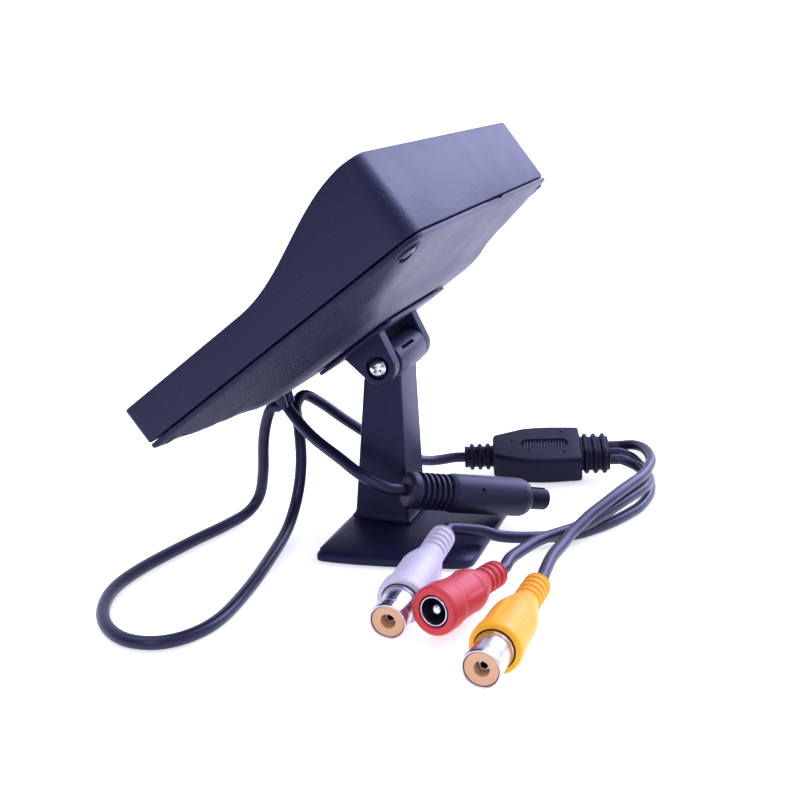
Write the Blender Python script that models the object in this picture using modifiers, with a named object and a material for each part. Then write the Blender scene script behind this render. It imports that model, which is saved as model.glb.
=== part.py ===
"""Small hooded vehicle monitor on a tilting clevis stand, with its video and power leads.

Frame: the screen faces -Y and up, +X is the viewer's right, +Z is up. The origin is on the underside of the
adhesive pad, straight below the tilt axis. The head's pieces are modelled upright in the head's own frame,
whose origin is on the tilt axis, and an empty tilts them back.
"""
import math

import bmesh
import bpy
from mathutils import Matrix, Vector

MM = 0.001
GAP = 0.3                       # clearance between touching pieces, in millimetres

# All sizes below are in millimetres. Head sizes are in the head's frame, with Y = 0 and Z = 0 on the tilt axis.
PIVOT_HEIGHT = 45.0
TILT_BACK = math.radians(51.0)

# housing
HALF_WIDTH = 60.0
CASE_TOP = 46.4
CASE_BOTTOM = -32.0
LOWER_CORNER_RADIUS = 1.3
CORNER_RADIUS = 5.0
WALL = 2.0
SEAM_Y = -16.0
FRONT_Y = -25.3                 # front face of the lower bezel
HOOD_Y = -35.0                  # front edge of the hood at the top
HOOD_START_Z = 5.0              # the side wall starts to swing forward here
HOOD_END_Z = 43.0
FRAME_Y = -24.9                 # front face of the screen frame inside the rim
FRAME_BACK_Y = -23.1
RIM = 2.6                       # thickness of the hood's wall
BACK_Y = -10.7                  # flat of the rear cover
BACK_HALF_WIDTH = 50.0
BACK_TOP = 27.0
BACK_BOTTOM = -20.0
SHOULDER_Y = -14.9              # where the rear cover's straight rim ends
CROWN = ((45.5, -15.5, 22.5, -8.8), (40.0, -11.0, 18.0, -7.8))    # half width, lowest, highest and depth
CROWN_INSIDE = (39.0, -10.0, 17.0, -9.8)

# screen
WINDOW_CENTRE_Z = 10.0
WINDOW_HALF = (49.0, 28.5)
PANEL_HALF = (52.4, 33.5)

# fasteners of the case
CASE_SCREW_X = 55.3
CASE_SCREW_Z = (41.3, -27.2)
CASE_SCREW_FLOOR_Y = -15.2
BRACKET_SCREW_X = 19.0
BRACKET_SCREW_Z = (11.2, -3.6)
CUP_FLOOR_Y = -10.0             # the bracket's screws sit in cups sunk into the rear cover
CUP_DEPTH_Y = -10.4
CUP_RADIUS = 2.9

# buttons
BUTTON_Z = -26.6
BUTTON_HALF = (3.2, 1.6)
BUTTON_X = {"button_power": -30.0, "button_menu": -6.0, "button_minus": 6.0, "button_plus": 18.0}
BUTTON_FRONT_Y = -25.7
BUTTON_BACK_Y = -21.6
BUTTON_CLEARANCE = 0.35

# hinge
AXIS_Y = -0.08                  # tilt axis in the head's frame
AXIS_Z = 2.38
BRACKET_HALF_WIDTH = 23.5
BRACKET_Z = (-8.0, 15.6)
PLATE_FRONT_Y = CROWN[-1][3] + GAP
PLATE_BACK_Y = -6.6
EAR_INNER_X = 10.4
EAR_OUTER_X = 14.7
EAR_ROOT_Z = (-3.5, 8.2)
EAR_TIP_RADIUS = 4.4
PIVOT_BORE = 1.8
PIVOT_SHAFT = 1.5

# stand
KNUCKLE_RADIUS = 4.7
KNUCKLE_HALF_WIDTH = 10.0
POST_TOP_Z = 41.0
POST_CROWN_Z = 44.5
POST_BOTTOM_Z = 3.9
POST_TOP_HALF = (6.7, 5.0)
POST_FOOT_HALF = (7.4, 7.2)
BASE_TOP_Z = 3.6
BASE_CENTRE_Y = -3.0            # the base's slopes shrink toward this line
PAD_TOP_Z = 1.2

# grommet and leads
GROMMET_X = 7.0
GROMMET_Z = -26.0
LEAD_RADIUS = 1.5
LEAD_SIDES = 2                  # bevel resolution of a lead's tube

# Camera plug, from its strain relief to its nose
PLUG_START = (12.0, 8.0, 14.9)
PLUG_END = (-16.0, 37.9, 5.9)

# Splitter box, from its single lead to its three leads
SPLITTER_START = (-45.6, 16.1, 5.6)
SPLITTER_END = (-52.3, 40.7, 7.0)
SPLITTER_ROLL = math.radians(15.0)
SPLITTER_LEAD_SPACING = 3.5

# Sockets: the tail end and the front end of each
SOCKETS = {
    "white": ((21.0, 20.8, 8.0), (63.2, 21.4, 5.7)),
    "yellow": ((33.6, 46.9, 4.9), (76.0, 45.0, 5.9)),
    "red": ((33.1, 37.1, 6.0), (61.2, 30.7, 8.7)),
}

# Routes of the leads between their ends
HARNESS_ROUTE = [
    (9.6, -29.2, 32.0), (9.3, -31.2, 27.0), (8.6, -32.4, 21.0), (7.6, -33.2, 13.5), (7.4, -34.6, 6.5),
    (10.5, -36.6, 2.6), (18.0, -39.0, 1.6), (32.0, -42.6, 1.6), (49.0, -46.0, 1.6), (60.5, -46.2, 1.6),
    (70.0, -43.0, 1.6), (77.0, -37.6, 1.6), (80.8, -30.6, 1.6), (79.8, -23.6, 1.6), (74.5, -18.6, 1.6),
    (65.5, -16.2, 1.6), (50.0, -17.0, 1.6), (33.5, -19.4, 1.6), (19.5, -21.6, 2.4), (11.5, -22.6, 6.0),
    (7.8, -22.6, 12.0), (5.6, -23.0, 18.5), (3.0, -24.6, 25.0), (0.0, -26.6, 30.0), (-4.0, -26.0, 32.0),
    (-8.0, -22.8, 29.0), (-12.5, -17.6, 23.4), (-17.5, -12.6, 18.0), (-24.0, -8.6, 12.4), (-31.0, -4.6, 7.6),
    (-37.5, -0.6, 5.0),
]
CAMERA_ROUTE = [
    (5.2, -27.4, 32.4), (6.6, -23.6, 28.6), (9.6, -17.4, 25.0), (12.8, -9.4, 21.8), (15.6, -2.0, 18.8),
]
YELLOW_ROUTE = [
    (-57.5, 55.5, 9.6), (-52.5, 59.5, 10.2), (-44.0, 62.0, 10.3), (-36.0, 62.0, 10.2), (-29.5, 61.0, 10.1),
    (-23.5, 59.2, 10.0), (-16.0, 56.7, 9.5), (-10.0, 54.4, 8.7), (-4.0, 52.0, 7.8), (0.8, 50.5, 7.0),
    (5.8, 49.0, 6.3), (11.5, 48.0, 5.6), (18.0, 47.0, 5.2), (24.5, 46.9, 4.9),
]
WHITE_ROUTE = [
    (-55.0, 56.0, 6.2), (-52.0, 60.0, 3.6), (-47.0, 62.0, 1.9), (-39.0, 62.6, 1.6), (-30.0, 61.5, 1.7),
    (-23.7, 59.5, 1.8), (-17.7, 56.9, 1.8), (-13.0, 54.2, 1.7), (-9.0, 51.4, 1.6), (-6.2, 49.2, 1.6),
    (-2.8, 46.1, 1.8), (0.0, 42.9, 2.2), (2.5, 39.8, 2.7), (4.7, 36.9, 3.1), (6.7, 34.0, 3.6),
    (8.6, 31.0, 4.4), (11.0, 27.0, 6.2),
]
RED_ROUTE = [
    (-51.0, 56.5, 5.9), (-48.0, 59.5, 5.3), (-42.2, 62.2, 5.3), (-32.5, 62.0, 6.3), (-23.5, 59.3, 6.4),
    (-17.2, 56.8, 6.0), (-11.5, 54.2, 5.4), (-6.3, 51.7, 4.9), (-2.1, 49.1, 4.8), (2.0, 46.5, 4.9),
    (6.0, 43.9, 5.0), (10.5, 41.6, 5.2), (16.5, 39.6, 5.3), (23.4, 38.1, 5.6),
]
HARNESS_POINTS = 38
CAMERA_POINTS = 6
PIGTAIL_POINTS = 16

COLOURS = {
    "case_black": ((0.014, 0.014, 0.030), 0.55, 0.0),
    "stand_black": ((0.011, 0.011, 0.022), 0.5, 0.0),
    "cable_black": ((0.008, 0.008, 0.014), 0.35, 0.0),
    "rubber_black": ((0.010, 0.010, 0.013), 0.6, 0.0),
    "steel": ((0.62, 0.62, 0.65), 0.3, 1.0),
    "nickel": ((0.75, 0.74, 0.78), 0.18, 1.0),
    "brass": ((0.75, 0.55, 0.25), 0.3, 1.0),
    "boot_white": ((0.80, 0.77, 0.90), 0.45, 0.0),
    "boot_yellow": ((0.90, 0.50, 0.03), 0.45, 0.0),
    "boot_red": ((0.82, 0.03, 0.05), 0.45, 0.0),
    "insulator_tan": ((0.86, 0.52, 0.28), 0.5, 0.0),
    "lens_clear": ((0.02, 0.02, 0.03), 0.08, 0.0),
    "lcd_glass": ((0.015, 0.015, 0.02), 0.2, 0.0),
    "board_green": ((0.02, 0.16, 0.06), 0.5, 0.0),
    "foam_grey": ((0.10, 0.10, 0.11), 0.9, 0.0),
}


# ---------------------------------------------------------------- scene helpers

def clear_scene():
    """Remove every object so that the script starts from nothing."""
    for obj in list(bpy.data.objects):
        bpy.data.objects.remove(obj, do_unlink=True)


def make_collection(name):
    collection = bpy.data.collections.new(name)
    bpy.context.scene.collection.children.link(collection)
    return collection


def make_material(name):
    colour, roughness, metallic = COLOURS[name]
    material = bpy.data.materials.new(name)
    material.use_nodes = True
    shader = material.node_tree.nodes["Principled BSDF"]
    shader.inputs["Base Color"].default_value = (*colour, 1.0)
    shader.inputs["Roughness"].default_value = roughness
    shader.inputs["Metallic"].default_value = metallic
    return material


clear_scene()
PARTS = make_collection("hooded_monitor")
CUTTERS = make_collection("cutters")
MATERIALS = {name: make_material(name) for name in COLOURS}


def add_object(name, mesh, material=None, parent=None, matrix=None):
    """Link a mesh as one named part, or as a cutter when it has no material."""
    obj = bpy.data.objects.new(name, mesh)
    if material:
        mesh.materials.append(MATERIALS[material])
        PARTS.objects.link(obj)
    else:
        CUTTERS.objects.link(obj)
        obj.hide_render = True
        obj.display_type = "WIRE"
    if matrix is not None:
        obj.matrix_basis = matrix
    obj.parent = parent
    return obj


def mesh_from(bm, name):
    """Turn a bmesh in millimetres into a mesh in metres with its faces pointing out."""
    bmesh.ops.recalc_face_normals(bm, faces=bm.faces)
    bmesh.ops.scale(bm, vec=(MM, MM, MM), verts=bm.verts)
    mesh = bpy.data.meshes.new(name)
    bm.to_mesh(mesh)
    bm.free()
    return mesh


def shade(obj, angle=35.0):
    obj.data.shade_smooth()
    obj.data.set_sharp_from_angle(angle=math.radians(angle))


def combine(target, tool, operation):
    """Cut a tool out of the target, or join it on."""
    modifier = target.modifiers.new(operation.lower(), "BOOLEAN")
    modifier.operation = operation
    modifier.object = tool
    modifier.solver = "EXACT"


# ---------------------------------------------------------------- shapes

def box_mesh(name, low, high):
    """A box between two corners."""
    bm = bmesh.new()
    bmesh.ops.create_cube(bm, size=1.0)
    size = [high[i] - low[i] for i in range(3)]
    centre = [(high[i] + low[i]) / 2 for i in range(3)]
    bmesh.ops.scale(bm, vec=size, verts=bm.verts)
    bmesh.ops.translate(bm, vec=centre, verts=bm.verts)
    return mesh_from(bm, name)


def cylinder_mesh(name, radius, start, end, sides=24, end_radius=None):
    """A cylinder, or a cone when end_radius is given, between two points."""
    start, end = Vector(start), Vector(end)
    axis = end - start
    bm = bmesh.new()
    turn = axis.to_track_quat("Z", "Y").to_matrix().to_4x4()
    matrix = Matrix.Translation((start + end) / 2) @ turn
    top = radius if end_radius is None else end_radius
    bmesh.ops.create_cone(bm, cap_ends=True, segments=sides, radius1=radius, radius2=top,
                          depth=axis.length, matrix=matrix)
    return mesh_from(bm, name)


def loft_mesh(name, rings):
    """Join rings of equal point counts with quads and close both ends."""
    bm = bmesh.new()
    loops = [[bm.verts.new(point) for point in ring] for ring in rings]
    count = len(loops[0])
    for lower, upper in zip(loops, loops[1:]):
        for i in range(count):
            j = (i + 1) % count
            bm.faces.new((lower[i], lower[j], upper[j], upper[i]))
    bm.faces.new(list(reversed(loops[0])))
    bm.faces.new(loops[-1])
    return mesh_from(bm, name)


def rounded_polygon(corners, radii, steps=3):
    """Outline through the corners, each turned with an arc of its own radius."""
    points = []
    count = len(corners)
    for i, corner in enumerate(corners):
        here = Vector(corner)
        back = (Vector(corners[i - 1]) - here).normalized()
        ahead = (Vector(corners[(i + 1) % count]) - here).normalized()
        if radii[i] == 0:
            points.append(tuple(here))
            continue
        half_angle = back.angle(ahead) / 2
        middle = (back + ahead).normalized()
        centre = here + middle * (radii[i] / math.sin(half_angle))
        first = here + back * (radii[i] / math.tan(half_angle)) - centre
        last = here + ahead * (radii[i] / math.tan(half_angle)) - centre
        sweep = first.angle_signed(last)
        for k in range(steps + 1):
            angle = -sweep * k / steps
            turned = Matrix.Rotation(angle, 2) @ first
            points.append(tuple(centre + turned))
    return points


def rounded_rectangle(half_width, low, high, radius, steps=3, low_radius=None):
    corners = [(half_width, low), (half_width, high), (-half_width, high), (-half_width, low)]
    low_radius = radius if low_radius is None else low_radius
    return rounded_polygon(corners, [low_radius, radius, radius, low_radius], steps)


def ring_at_y(outline, y):
    return [(x, y, z) for x, z in outline]


def ring_at_z(outline, z):
    return [(x, y, z) for x, y in outline]


def prism_y(name, outline, y_start, y_end):
    """An outline in X and Z pulled straight along Y."""
    return loft_mesh(name, [ring_at_y(outline, y_start), ring_at_y(outline, y_end)])


def prism_x(name, outline, x_start, x_end):
    """An outline in Y and Z pulled straight along X."""
    rings = [[(x, y, z) for y, z in outline] for x in (x_start, x_end)]
    return loft_mesh(name, rings)


def turned(name, profile, material, parent=None, matrix=None, steps=20):
    """A solid turned about Z from (radius, height) pairs listed from the top to the bottom."""
    mesh = bpy.data.meshes.new(name)
    points = [(radius * MM, 0.0, height * MM) for radius, height in profile]
    mesh.from_pydata(points, [(i, i + 1) for i in range(len(points) - 1)], [])
    obj = add_object(name, mesh, material, parent, matrix)
    screw = obj.modifiers.new("turn", "SCREW")
    screw.steps = steps
    screw.render_steps = steps
    screw.use_merge_vertices = True
    screw.merge_threshold = 0.00001
    screw.use_smooth_shade = True
    return obj


def along(start, end):
    """Matrix that puts local Z on the line from start to end, with its origin at start."""
    start, end = Vector(start), Vector(end)
    turn = (end - start).to_track_quat("Z", "Y").to_matrix().to_4x4()
    return Matrix.Translation(start * MM) @ turn


def unit(start, end):
    return (Vector(end) - Vector(start)).normalized()


# ---------------------------------------------------------------- head

HEAD = bpy.data.objects.new("head_axis", None)
PARTS.objects.link(HEAD)
HEAD.location = (0.0, 0.0, PIVOT_HEIGHT * MM)
HEAD.rotation_euler = (-TILT_BACK, 0.0, 0.0)
HEAD_MATRIX = Matrix.Translation((0.0, 0.0, PIVOT_HEIGHT)) @ Matrix.Rotation(-TILT_BACK, 4, "X")


def head_part(name, mesh, material):
    return add_object(name, mesh, material, HEAD)


def head_tool(mesh):
    return add_object(mesh.name, mesh, None, HEAD)


def head_cylinder_tool(name, radius, x, z, y_start, y_end, sides=20):
    return head_tool(cylinder_mesh(name, radius, (x, y_start, z), (x, y_end, z), sides))


def case_outline(radius=CORNER_RADIUS):
    return rounded_rectangle(HALF_WIDTH, CASE_BOTTOM, CASE_TOP, radius, 3, LOWER_CORNER_RADIUS)


def case_screw_places():
    return [(x, z) for z in CASE_SCREW_Z for x in (-CASE_SCREW_X, CASE_SCREW_X)]


def bracket_screw_places():
    return [(x, z) for z in BRACKET_SCREW_Z for x in (-BRACKET_SCREW_X, BRACKET_SCREW_X)]


def hood_curve(steps=10):
    """Front edge of the side walls: straight, then one soft S up to the hood."""
    points = []
    for i in range(steps + 1):
        share = i / steps
        z = HOOD_START_Z + (HOOD_END_Z - HOOD_START_Z) * share
        y = FRONT_Y + (HOOD_Y - FRONT_Y) * (1 - math.cos(math.pi * share)) / 2
        points.append((y, z))
    return points


def make_front_bezel():
    far = -60.0
    body = head_part("front_bezel", prism_y("front_bezel", case_outline(), SEAM_Y - GAP, HOOD_Y - 1.0),
                     "case_black")
    outside = [(FRONT_Y, -50.0)] + hood_curve() + [(HOOD_Y, 60.0), (far, 60.0), (far, -50.0)]
    combine(body, head_tool(prism_x("hood_line", outside, -70.0, 70.0)), "DIFFERENCE")
    inner = rounded_rectangle(HALF_WIDTH - RIM, CASE_BOTTOM + 2.4, CASE_TOP - RIM, 3.0)
    combine(body, head_tool(prism_y("hood_inside", inner, FRAME_Y, far)), "DIFFERENCE")
    inner = rounded_rectangle(HALF_WIDTH - WALL, CASE_BOTTOM + WALL, CASE_TOP - WALL, 3.0)
    combine(body, head_tool(prism_y("bezel_inside", inner, FRAME_BACK_Y, 0.0)), "DIFFERENCE")
    low = WINDOW_CENTRE_Z - WINDOW_HALF[1]
    high = WINDOW_CENTRE_Z + WINDOW_HALF[1]
    window = rounded_rectangle(WINDOW_HALF[0], low, high, 1.0, 2)
    combine(body, head_tool(prism_y("screen_window", window, -30.0, -20.0)), "DIFFERENCE")
    for i, (x, z) in enumerate(case_screw_places()):
        post = head_cylinder_tool(f"bezel_post_{i}", 2.3, x, z, SEAM_Y - 0.6, FRAME_BACK_Y - 0.6, 10)
        combine(body, post, "UNION")
        bore = head_cylinder_tool(f"bezel_bore_{i}", 1.25, x, z, -10.0, -22.8, 8)
        combine(body, bore, "DIFFERENCE")
    for name, x in BUTTON_X.items():
        half_x = BUTTON_HALF[0] + BUTTON_CLEARANCE
        half_z = BUTTON_HALF[1] + BUTTON_CLEARANCE
        hole = rounded_rectangle(half_x, -half_z, half_z, 1.2, 3)
        hole = [(x + u, BUTTON_Z + w) for u, w in hole]
        combine(body, head_tool(prism_y(name + "_hole", hole, -30.0, -20.0)), "DIFFERENCE")
    light = head_cylinder_tool("power_light_hole", 0.8, -20.0, BUTTON_Z, -30.0, -20.0, 12)
    combine(body, light, "DIFFERENCE")


def back_ring(share, y, inset=0.0):
    """Outline of the rear cover, a share of the way from its rim to its flat back."""
    half = HALF_WIDTH + (BACK_HALF_WIDTH - HALF_WIDTH) * share - inset
    low = CASE_BOTTOM + (BACK_BOTTOM - CASE_BOTTOM) * share + inset
    high = CASE_TOP + (BACK_TOP - CASE_TOP) * share - inset
    low_radius = max(0.6, LOWER_CORNER_RADIUS + 2.0 * share - inset)
    return ring_at_y(rounded_rectangle(half, low, high, CORNER_RADIUS - inset, 3, low_radius), y)


def crown_ring(half, low, high, y):
    return ring_at_y(rounded_rectangle(half, low, high, CORNER_RADIUS), y)


def slope_frame():
    """Centre of the lead exit on the rear cover's lower slope, and the outward direction there."""
    rise = BACK_Y - SHOULDER_Y
    run = BACK_BOTTOM - CASE_BOTTOM
    y = SHOULDER_Y + rise * (GROMMET_Z - CASE_BOTTOM) / run
    return Vector((GROMMET_X, y, GROMMET_Z)), Vector((0.0, run, -rise)).normalized()


def stadium_ring(centre, normal, half_length, half_height, out):
    """Stadium outline across the lead exit, at a distance out along the normal."""
    across = Vector((1.0, 0.0, 0.0))
    upward = normal.cross(across)
    outline = rounded_rectangle(half_length, -half_height, half_height, half_height * 0.98, 3)
    return [tuple(centre + across * u + upward * w + normal * out) for u, w in outline]


def make_rear_cover():
    stages = [(0.0, SEAM_Y), (0.0, SHOULDER_Y), (0.05, SHOULDER_Y + 0.45), (0.93, BACK_Y - 0.15), (1.0, BACK_Y)]
    rings = [back_ring(share, y) for share, y in stages] + [crown_ring(*stage) for stage in CROWN]
    cover = head_part("rear_cover", loft_mesh("rear_cover", rings), "case_black")
    inner_y = SHOULDER_Y - WALL / 2
    rings = [back_ring(0.0, -20.0, WALL), back_ring(0.0, inner_y, WALL), back_ring(0.95, BACK_Y - WALL, WALL * 0.7),
             crown_ring(*CROWN_INSIDE)]
    combine(cover, head_tool(loft_mesh("cover_inside", rings)), "DIFFERENCE")
    for i, (x, z) in enumerate(case_screw_places()):
        pad = head_cylinder_tool(f"corner_pad_{i}", 3.2, x, z, SEAM_Y, SEAM_Y + 1.8, 12)
        combine(cover, pad, "UNION")
        recess = head_cylinder_tool(f"corner_recess_{i}", 2.6, x, z, CASE_SCREW_FLOOR_Y, 0.0, 14)
        combine(cover, recess, "DIFFERENCE")
        bore = head_cylinder_tool(f"corner_bore_{i}", 1.25, x, z, -20.0, -10.0, 8)
        combine(cover, bore, "DIFFERENCE")
    for i, (x, z) in enumerate(bracket_screw_places()):
        boss = head_cylinder_tool(f"back_boss_{i}", 4.4, x, z, -14.9, CROWN[-1][3] - 0.5, 16)
        combine(cover, boss, "UNION")
        pocket = head_cylinder_tool(f"back_pocket_{i}", CUP_RADIUS + GAP, x, z, CUP_DEPTH_Y - GAP, 0.0, 20)
        combine(cover, pocket, "DIFFERENCE")
        bore = head_cylinder_tool(f"back_bore_{i}", 1.3, x, z, -20.0, 0.0, 8)
        combine(cover, bore, "DIFFERENCE")
    centre, normal = slope_frame()
    rings = [stadium_ring(centre, normal, 5.6, 2.7, out) for out in (-8.0, 8.0)]
    combine(cover, head_tool(loft_mesh("lead_slot", rings)), "DIFFERENCE")


def make_grommet():
    """Oval rubber grommet through the rear cover, with a flange and a ribbed snout."""
    centre, normal = slope_frame()
    stages = [(5.3, 2.4, -3.2), (5.3, 2.4, 0.3), (6.2, 3.2, 0.3), (6.2, 3.2, 1.2), (5.2, 2.4, 1.2),
              (5.2, 2.4, 1.8), (4.9, 2.1, 1.9), (4.9, 2.1, 2.4), (5.1, 2.3, 2.5), (5.0, 2.2, 3.2)]
    rings = [stadium_ring(centre, normal, *stage) for stage in stages]
    head_part("lead_grommet", loft_mesh("lead_grommet", rings), "rubber_black")


def grommet_exit(offset, out):
    """World point on a lead's line through the grommet, in millimetres."""
    centre, normal = slope_frame()
    local = centre + Vector((offset, 0.0, 0.0)) + normal * out
    return tuple(HEAD_MATRIX @ local)


def make_screen():
    low = WINDOW_CENTRE_Z - WINDOW_HALF[1] + 0.4
    high = WINDOW_CENTRE_Z + WINDOW_HALF[1] - 0.4
    outline = rounded_rectangle(WINDOW_HALF[0] - 0.4, low, high, 0.8, 2)
    head_part("screen_lens", prism_y("screen_lens", outline, -24.4, -23.2), "lens_clear")
    half_x, half_z = PANEL_HALF
    low, high = WINDOW_CENTRE_Z - half_z, WINDOW_CENTRE_Z + half_z
    head_part("lcd_panel", box_mesh("lcd_panel", (-half_x, -22.7, low), (half_x, -21.3, high)), "lcd_glass")
    head_part("backlight_unit", box_mesh("backlight_unit", (-half_x, -21.0, low), (half_x, -19.4, high)),
              "steel")


def make_electronics():
    board = box_mesh("main_board", (-46.0, -17.8, -15.0), (46.0, -16.2, 35.0))
    head_part("main_board", board, "board_green")
    chip = box_mesh("display_chip", (-26.0, -15.9, 16.0), (-14.0, -14.4, 28.0))
    head_part("display_chip", chip, "rubber_black")
    for name, x in (("lead_header_left", -2.0), ("lead_header_right", 8.0)):
        header = box_mesh(name, (x - 3.6, -15.9, -13.5), (x + 3.6, -13.3, -9.0))
        head_part(name, header, "boot_white")
    switch_board = head_part("button_board", box_mesh("button_board", (-36.0, -20.2, -29.4), (24.0, -19.2, -24.2)),
                             "board_green")
    for name, x in BUTTON_X.items():
        dome = head_cylinder_tool(name + "_switch", 1.4, x, BUTTON_Z, -20.9, -19.7, 16)
        combine(switch_board, dome, "UNION")


def make_buttons():
    for name, x in BUTTON_X.items():
        half_x, half_z = BUTTON_HALF
        rings = []
        for inset, y in ((0.0, BUTTON_BACK_Y), (0.0, BUTTON_FRONT_Y + 0.35), (0.3, BUTTON_FRONT_Y)):
            outline = rounded_rectangle(half_x - inset, inset - half_z, half_z - inset, 0.9, 3)
            rings.append([(x + u, y, BUTTON_Z + w) for u, w in outline])
        head_part(name, loft_mesh(name, rings), "rubber_black")


def pan_head_screw(name, material, parent, matrix, head_radius, head_height, shaft_radius, length, steps=16):
    """Pan-head screw along Z, its head's underside at the origin and its shaft toward -Z."""
    profile = [(0.0, head_height), (head_radius * 0.7, head_height * 0.9), (head_radius, head_height * 0.4),
               (head_radius, 0.0), (shaft_radius, 0.0),
               (shaft_radius, 0.6 - length), (0.4, -length), (0.0, -length)]
    return turned(name, profile, material, parent, matrix, steps)


def cross_recess(target, half_length, half_width, depth_low, depth_high):
    """Cut a cross drive recess down along Z into a screw's head."""
    for i, (a, b) in enumerate(((half_length, half_width), (half_width, half_length))):
        mesh = box_mesh(f"{target.name}_slot_{i}", (-a, -b, depth_low), (a, b, depth_high))
        tool = add_object(mesh.name, mesh, None, target.parent, target.matrix_basis.copy())
        combine(target, tool, "DIFFERENCE")


def make_case_screws():
    toward_back = Matrix.Rotation(-math.pi / 2, 4, "X")
    for i, (x, z) in enumerate(case_screw_places()):
        seat = CASE_SCREW_FLOOR_Y + GAP
        matrix = Matrix.Translation((x * MM, seat * MM, z * MM)) @ toward_back
        screw = pan_head_screw(f"case_screw_{i + 1}", "steel", HEAD, matrix, 2.0, 1.2, 0.95, 7.0, 12)
        cross_recess(screw, 1.2, 0.3, 0.5, 3.0)
    for i, (x, z) in enumerate(bracket_screw_places()):
        matrix = Matrix.Translation((x * MM, (CUP_FLOOR_Y + 0.1) * MM, z * MM)) @ toward_back
        screw = pan_head_screw(f"bracket_screw_{i + 1}", "steel", HEAD, matrix, 1.8, 1.1, 0.95, 4.6, 12)
        cross_recess(screw, 1.1, 0.28, 0.45, 3.0)


def ear_outline(steps=10):
    """Side view of one ear: a wide root and a round tip about the tilt axis."""
    root_y = PLATE_FRONT_Y + 0.6 - AXIS_Y
    low, high = (z - AXIS_Z for z in EAR_ROOT_Z)
    radius = EAR_TIP_RADIUS
    start = math.atan2(low, root_y) % math.tau + math.acos(radius / math.hypot(low, root_y)) - math.tau
    end = math.atan2(high, root_y) - math.acos(radius / math.hypot(high, root_y))
    arc = []
    for i in range(steps + 1):
        angle = start + (end - start) * i / steps
        arc.append((radius * math.cos(angle), radius * math.sin(angle)))
    outline = [(root_y, low)] + arc + [(root_y, high)]
    return [(y + AXIS_Y, z + AXIS_Z) for y, z in outline]


def make_hinge_bracket():
    low, high = BRACKET_Z
    outline = rounded_rectangle(BRACKET_HALF_WIDTH, low, high, 3.5)
    bracket = head_part("hinge_bracket", prism_y("hinge_bracket", outline, PLATE_FRONT_Y, PLATE_BACK_Y),
                        "stand_black")
    for i, (x, z) in enumerate(bracket_screw_places()):
        cup = head_cylinder_tool(f"plate_cup_{i}", CUP_RADIUS, x, z, CUP_DEPTH_Y, PLATE_BACK_Y - 0.3, 16)
        combine(bracket, cup, "UNION")
        recess = head_cylinder_tool(f"plate_recess_{i}", 2.15, x, z, CUP_FLOOR_Y, 0.0, 14)
        combine(bracket, recess, "DIFFERENCE")
        bore = head_cylinder_tool(f"plate_bore_{i}", 1.3, x, z, -20.0, 0.0, 8)
        combine(bracket, bore, "DIFFERENCE")
    for side in (-1, 1):
        mesh = prism_x(f"ear_{side}", ear_outline(), side * EAR_INNER_X, side * EAR_OUTER_X)
        combine(bracket, head_tool(mesh), "UNION")
    bore = cylinder_mesh("ear_bore", PIVOT_BORE, (-20.0, AXIS_Y, AXIS_Z), (20.0, AXIS_Y, AXIS_Z), 16)
    combine(bracket, head_tool(bore), "DIFFERENCE")
    seat = cylinder_mesh("screw_seat", 3.0, (EAR_OUTER_X - 1.5, AXIS_Y, AXIS_Z), (20.0, AXIS_Y, AXIS_Z), 24)
    combine(bracket, head_tool(seat), "DIFFERENCE")
    pocket = cylinder_mesh("nut_pocket", 3.5, (2.4 - EAR_OUTER_X, AXIS_Y, AXIS_Z), (-20.0, AXIS_Y, AXIS_Z), 6)
    combine(bracket, head_tool(pocket), "DIFFERENCE")


def make_pivot():
    """Pivot screw from the right ear, with a spring washer and a nut in the left ear's pocket."""
    seat_x = EAR_OUTER_X - 1.5 + GAP
    matrix = Matrix.Translation((seat_x * MM, AXIS_Y * MM, AXIS_Z * MM)) @ Matrix.Rotation(math.pi / 2, 4, "Y")
    screw = pan_head_screw("pivot_screw", "nickel", HEAD, matrix, 2.35, 1.9, PIVOT_SHAFT, 27.4, 20)
    cross_recess(screw, 1.55, 0.38, 0.9, 4.0)
    floor_x = 2.4 - EAR_OUTER_X
    washer_x = floor_x - GAP
    washer = head_part("spring_washer", cylinder_mesh("spring_washer", 2.9, (washer_x, AXIS_Y, AXIS_Z),
                                                      (washer_x - 0.5, AXIS_Y, AXIS_Z), 24), "steel")
    bore = head_tool(cylinder_mesh("washer_bore", PIVOT_BORE, (-20.0, AXIS_Y, AXIS_Z), (0.0, AXIS_Y, AXIS_Z), 20))
    combine(washer, bore, "DIFFERENCE")
    nut_x = washer_x - 0.5 - GAP
    nut = head_part("pivot_nut", cylinder_mesh("pivot_nut", 3.1, (nut_x, AXIS_Y, AXIS_Z),
                                               (nut_x - 1.5, AXIS_Y, AXIS_Z), 6), "steel")
    combine(nut, bore, "DIFFERENCE")


# ---------------------------------------------------------------- stand

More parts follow.
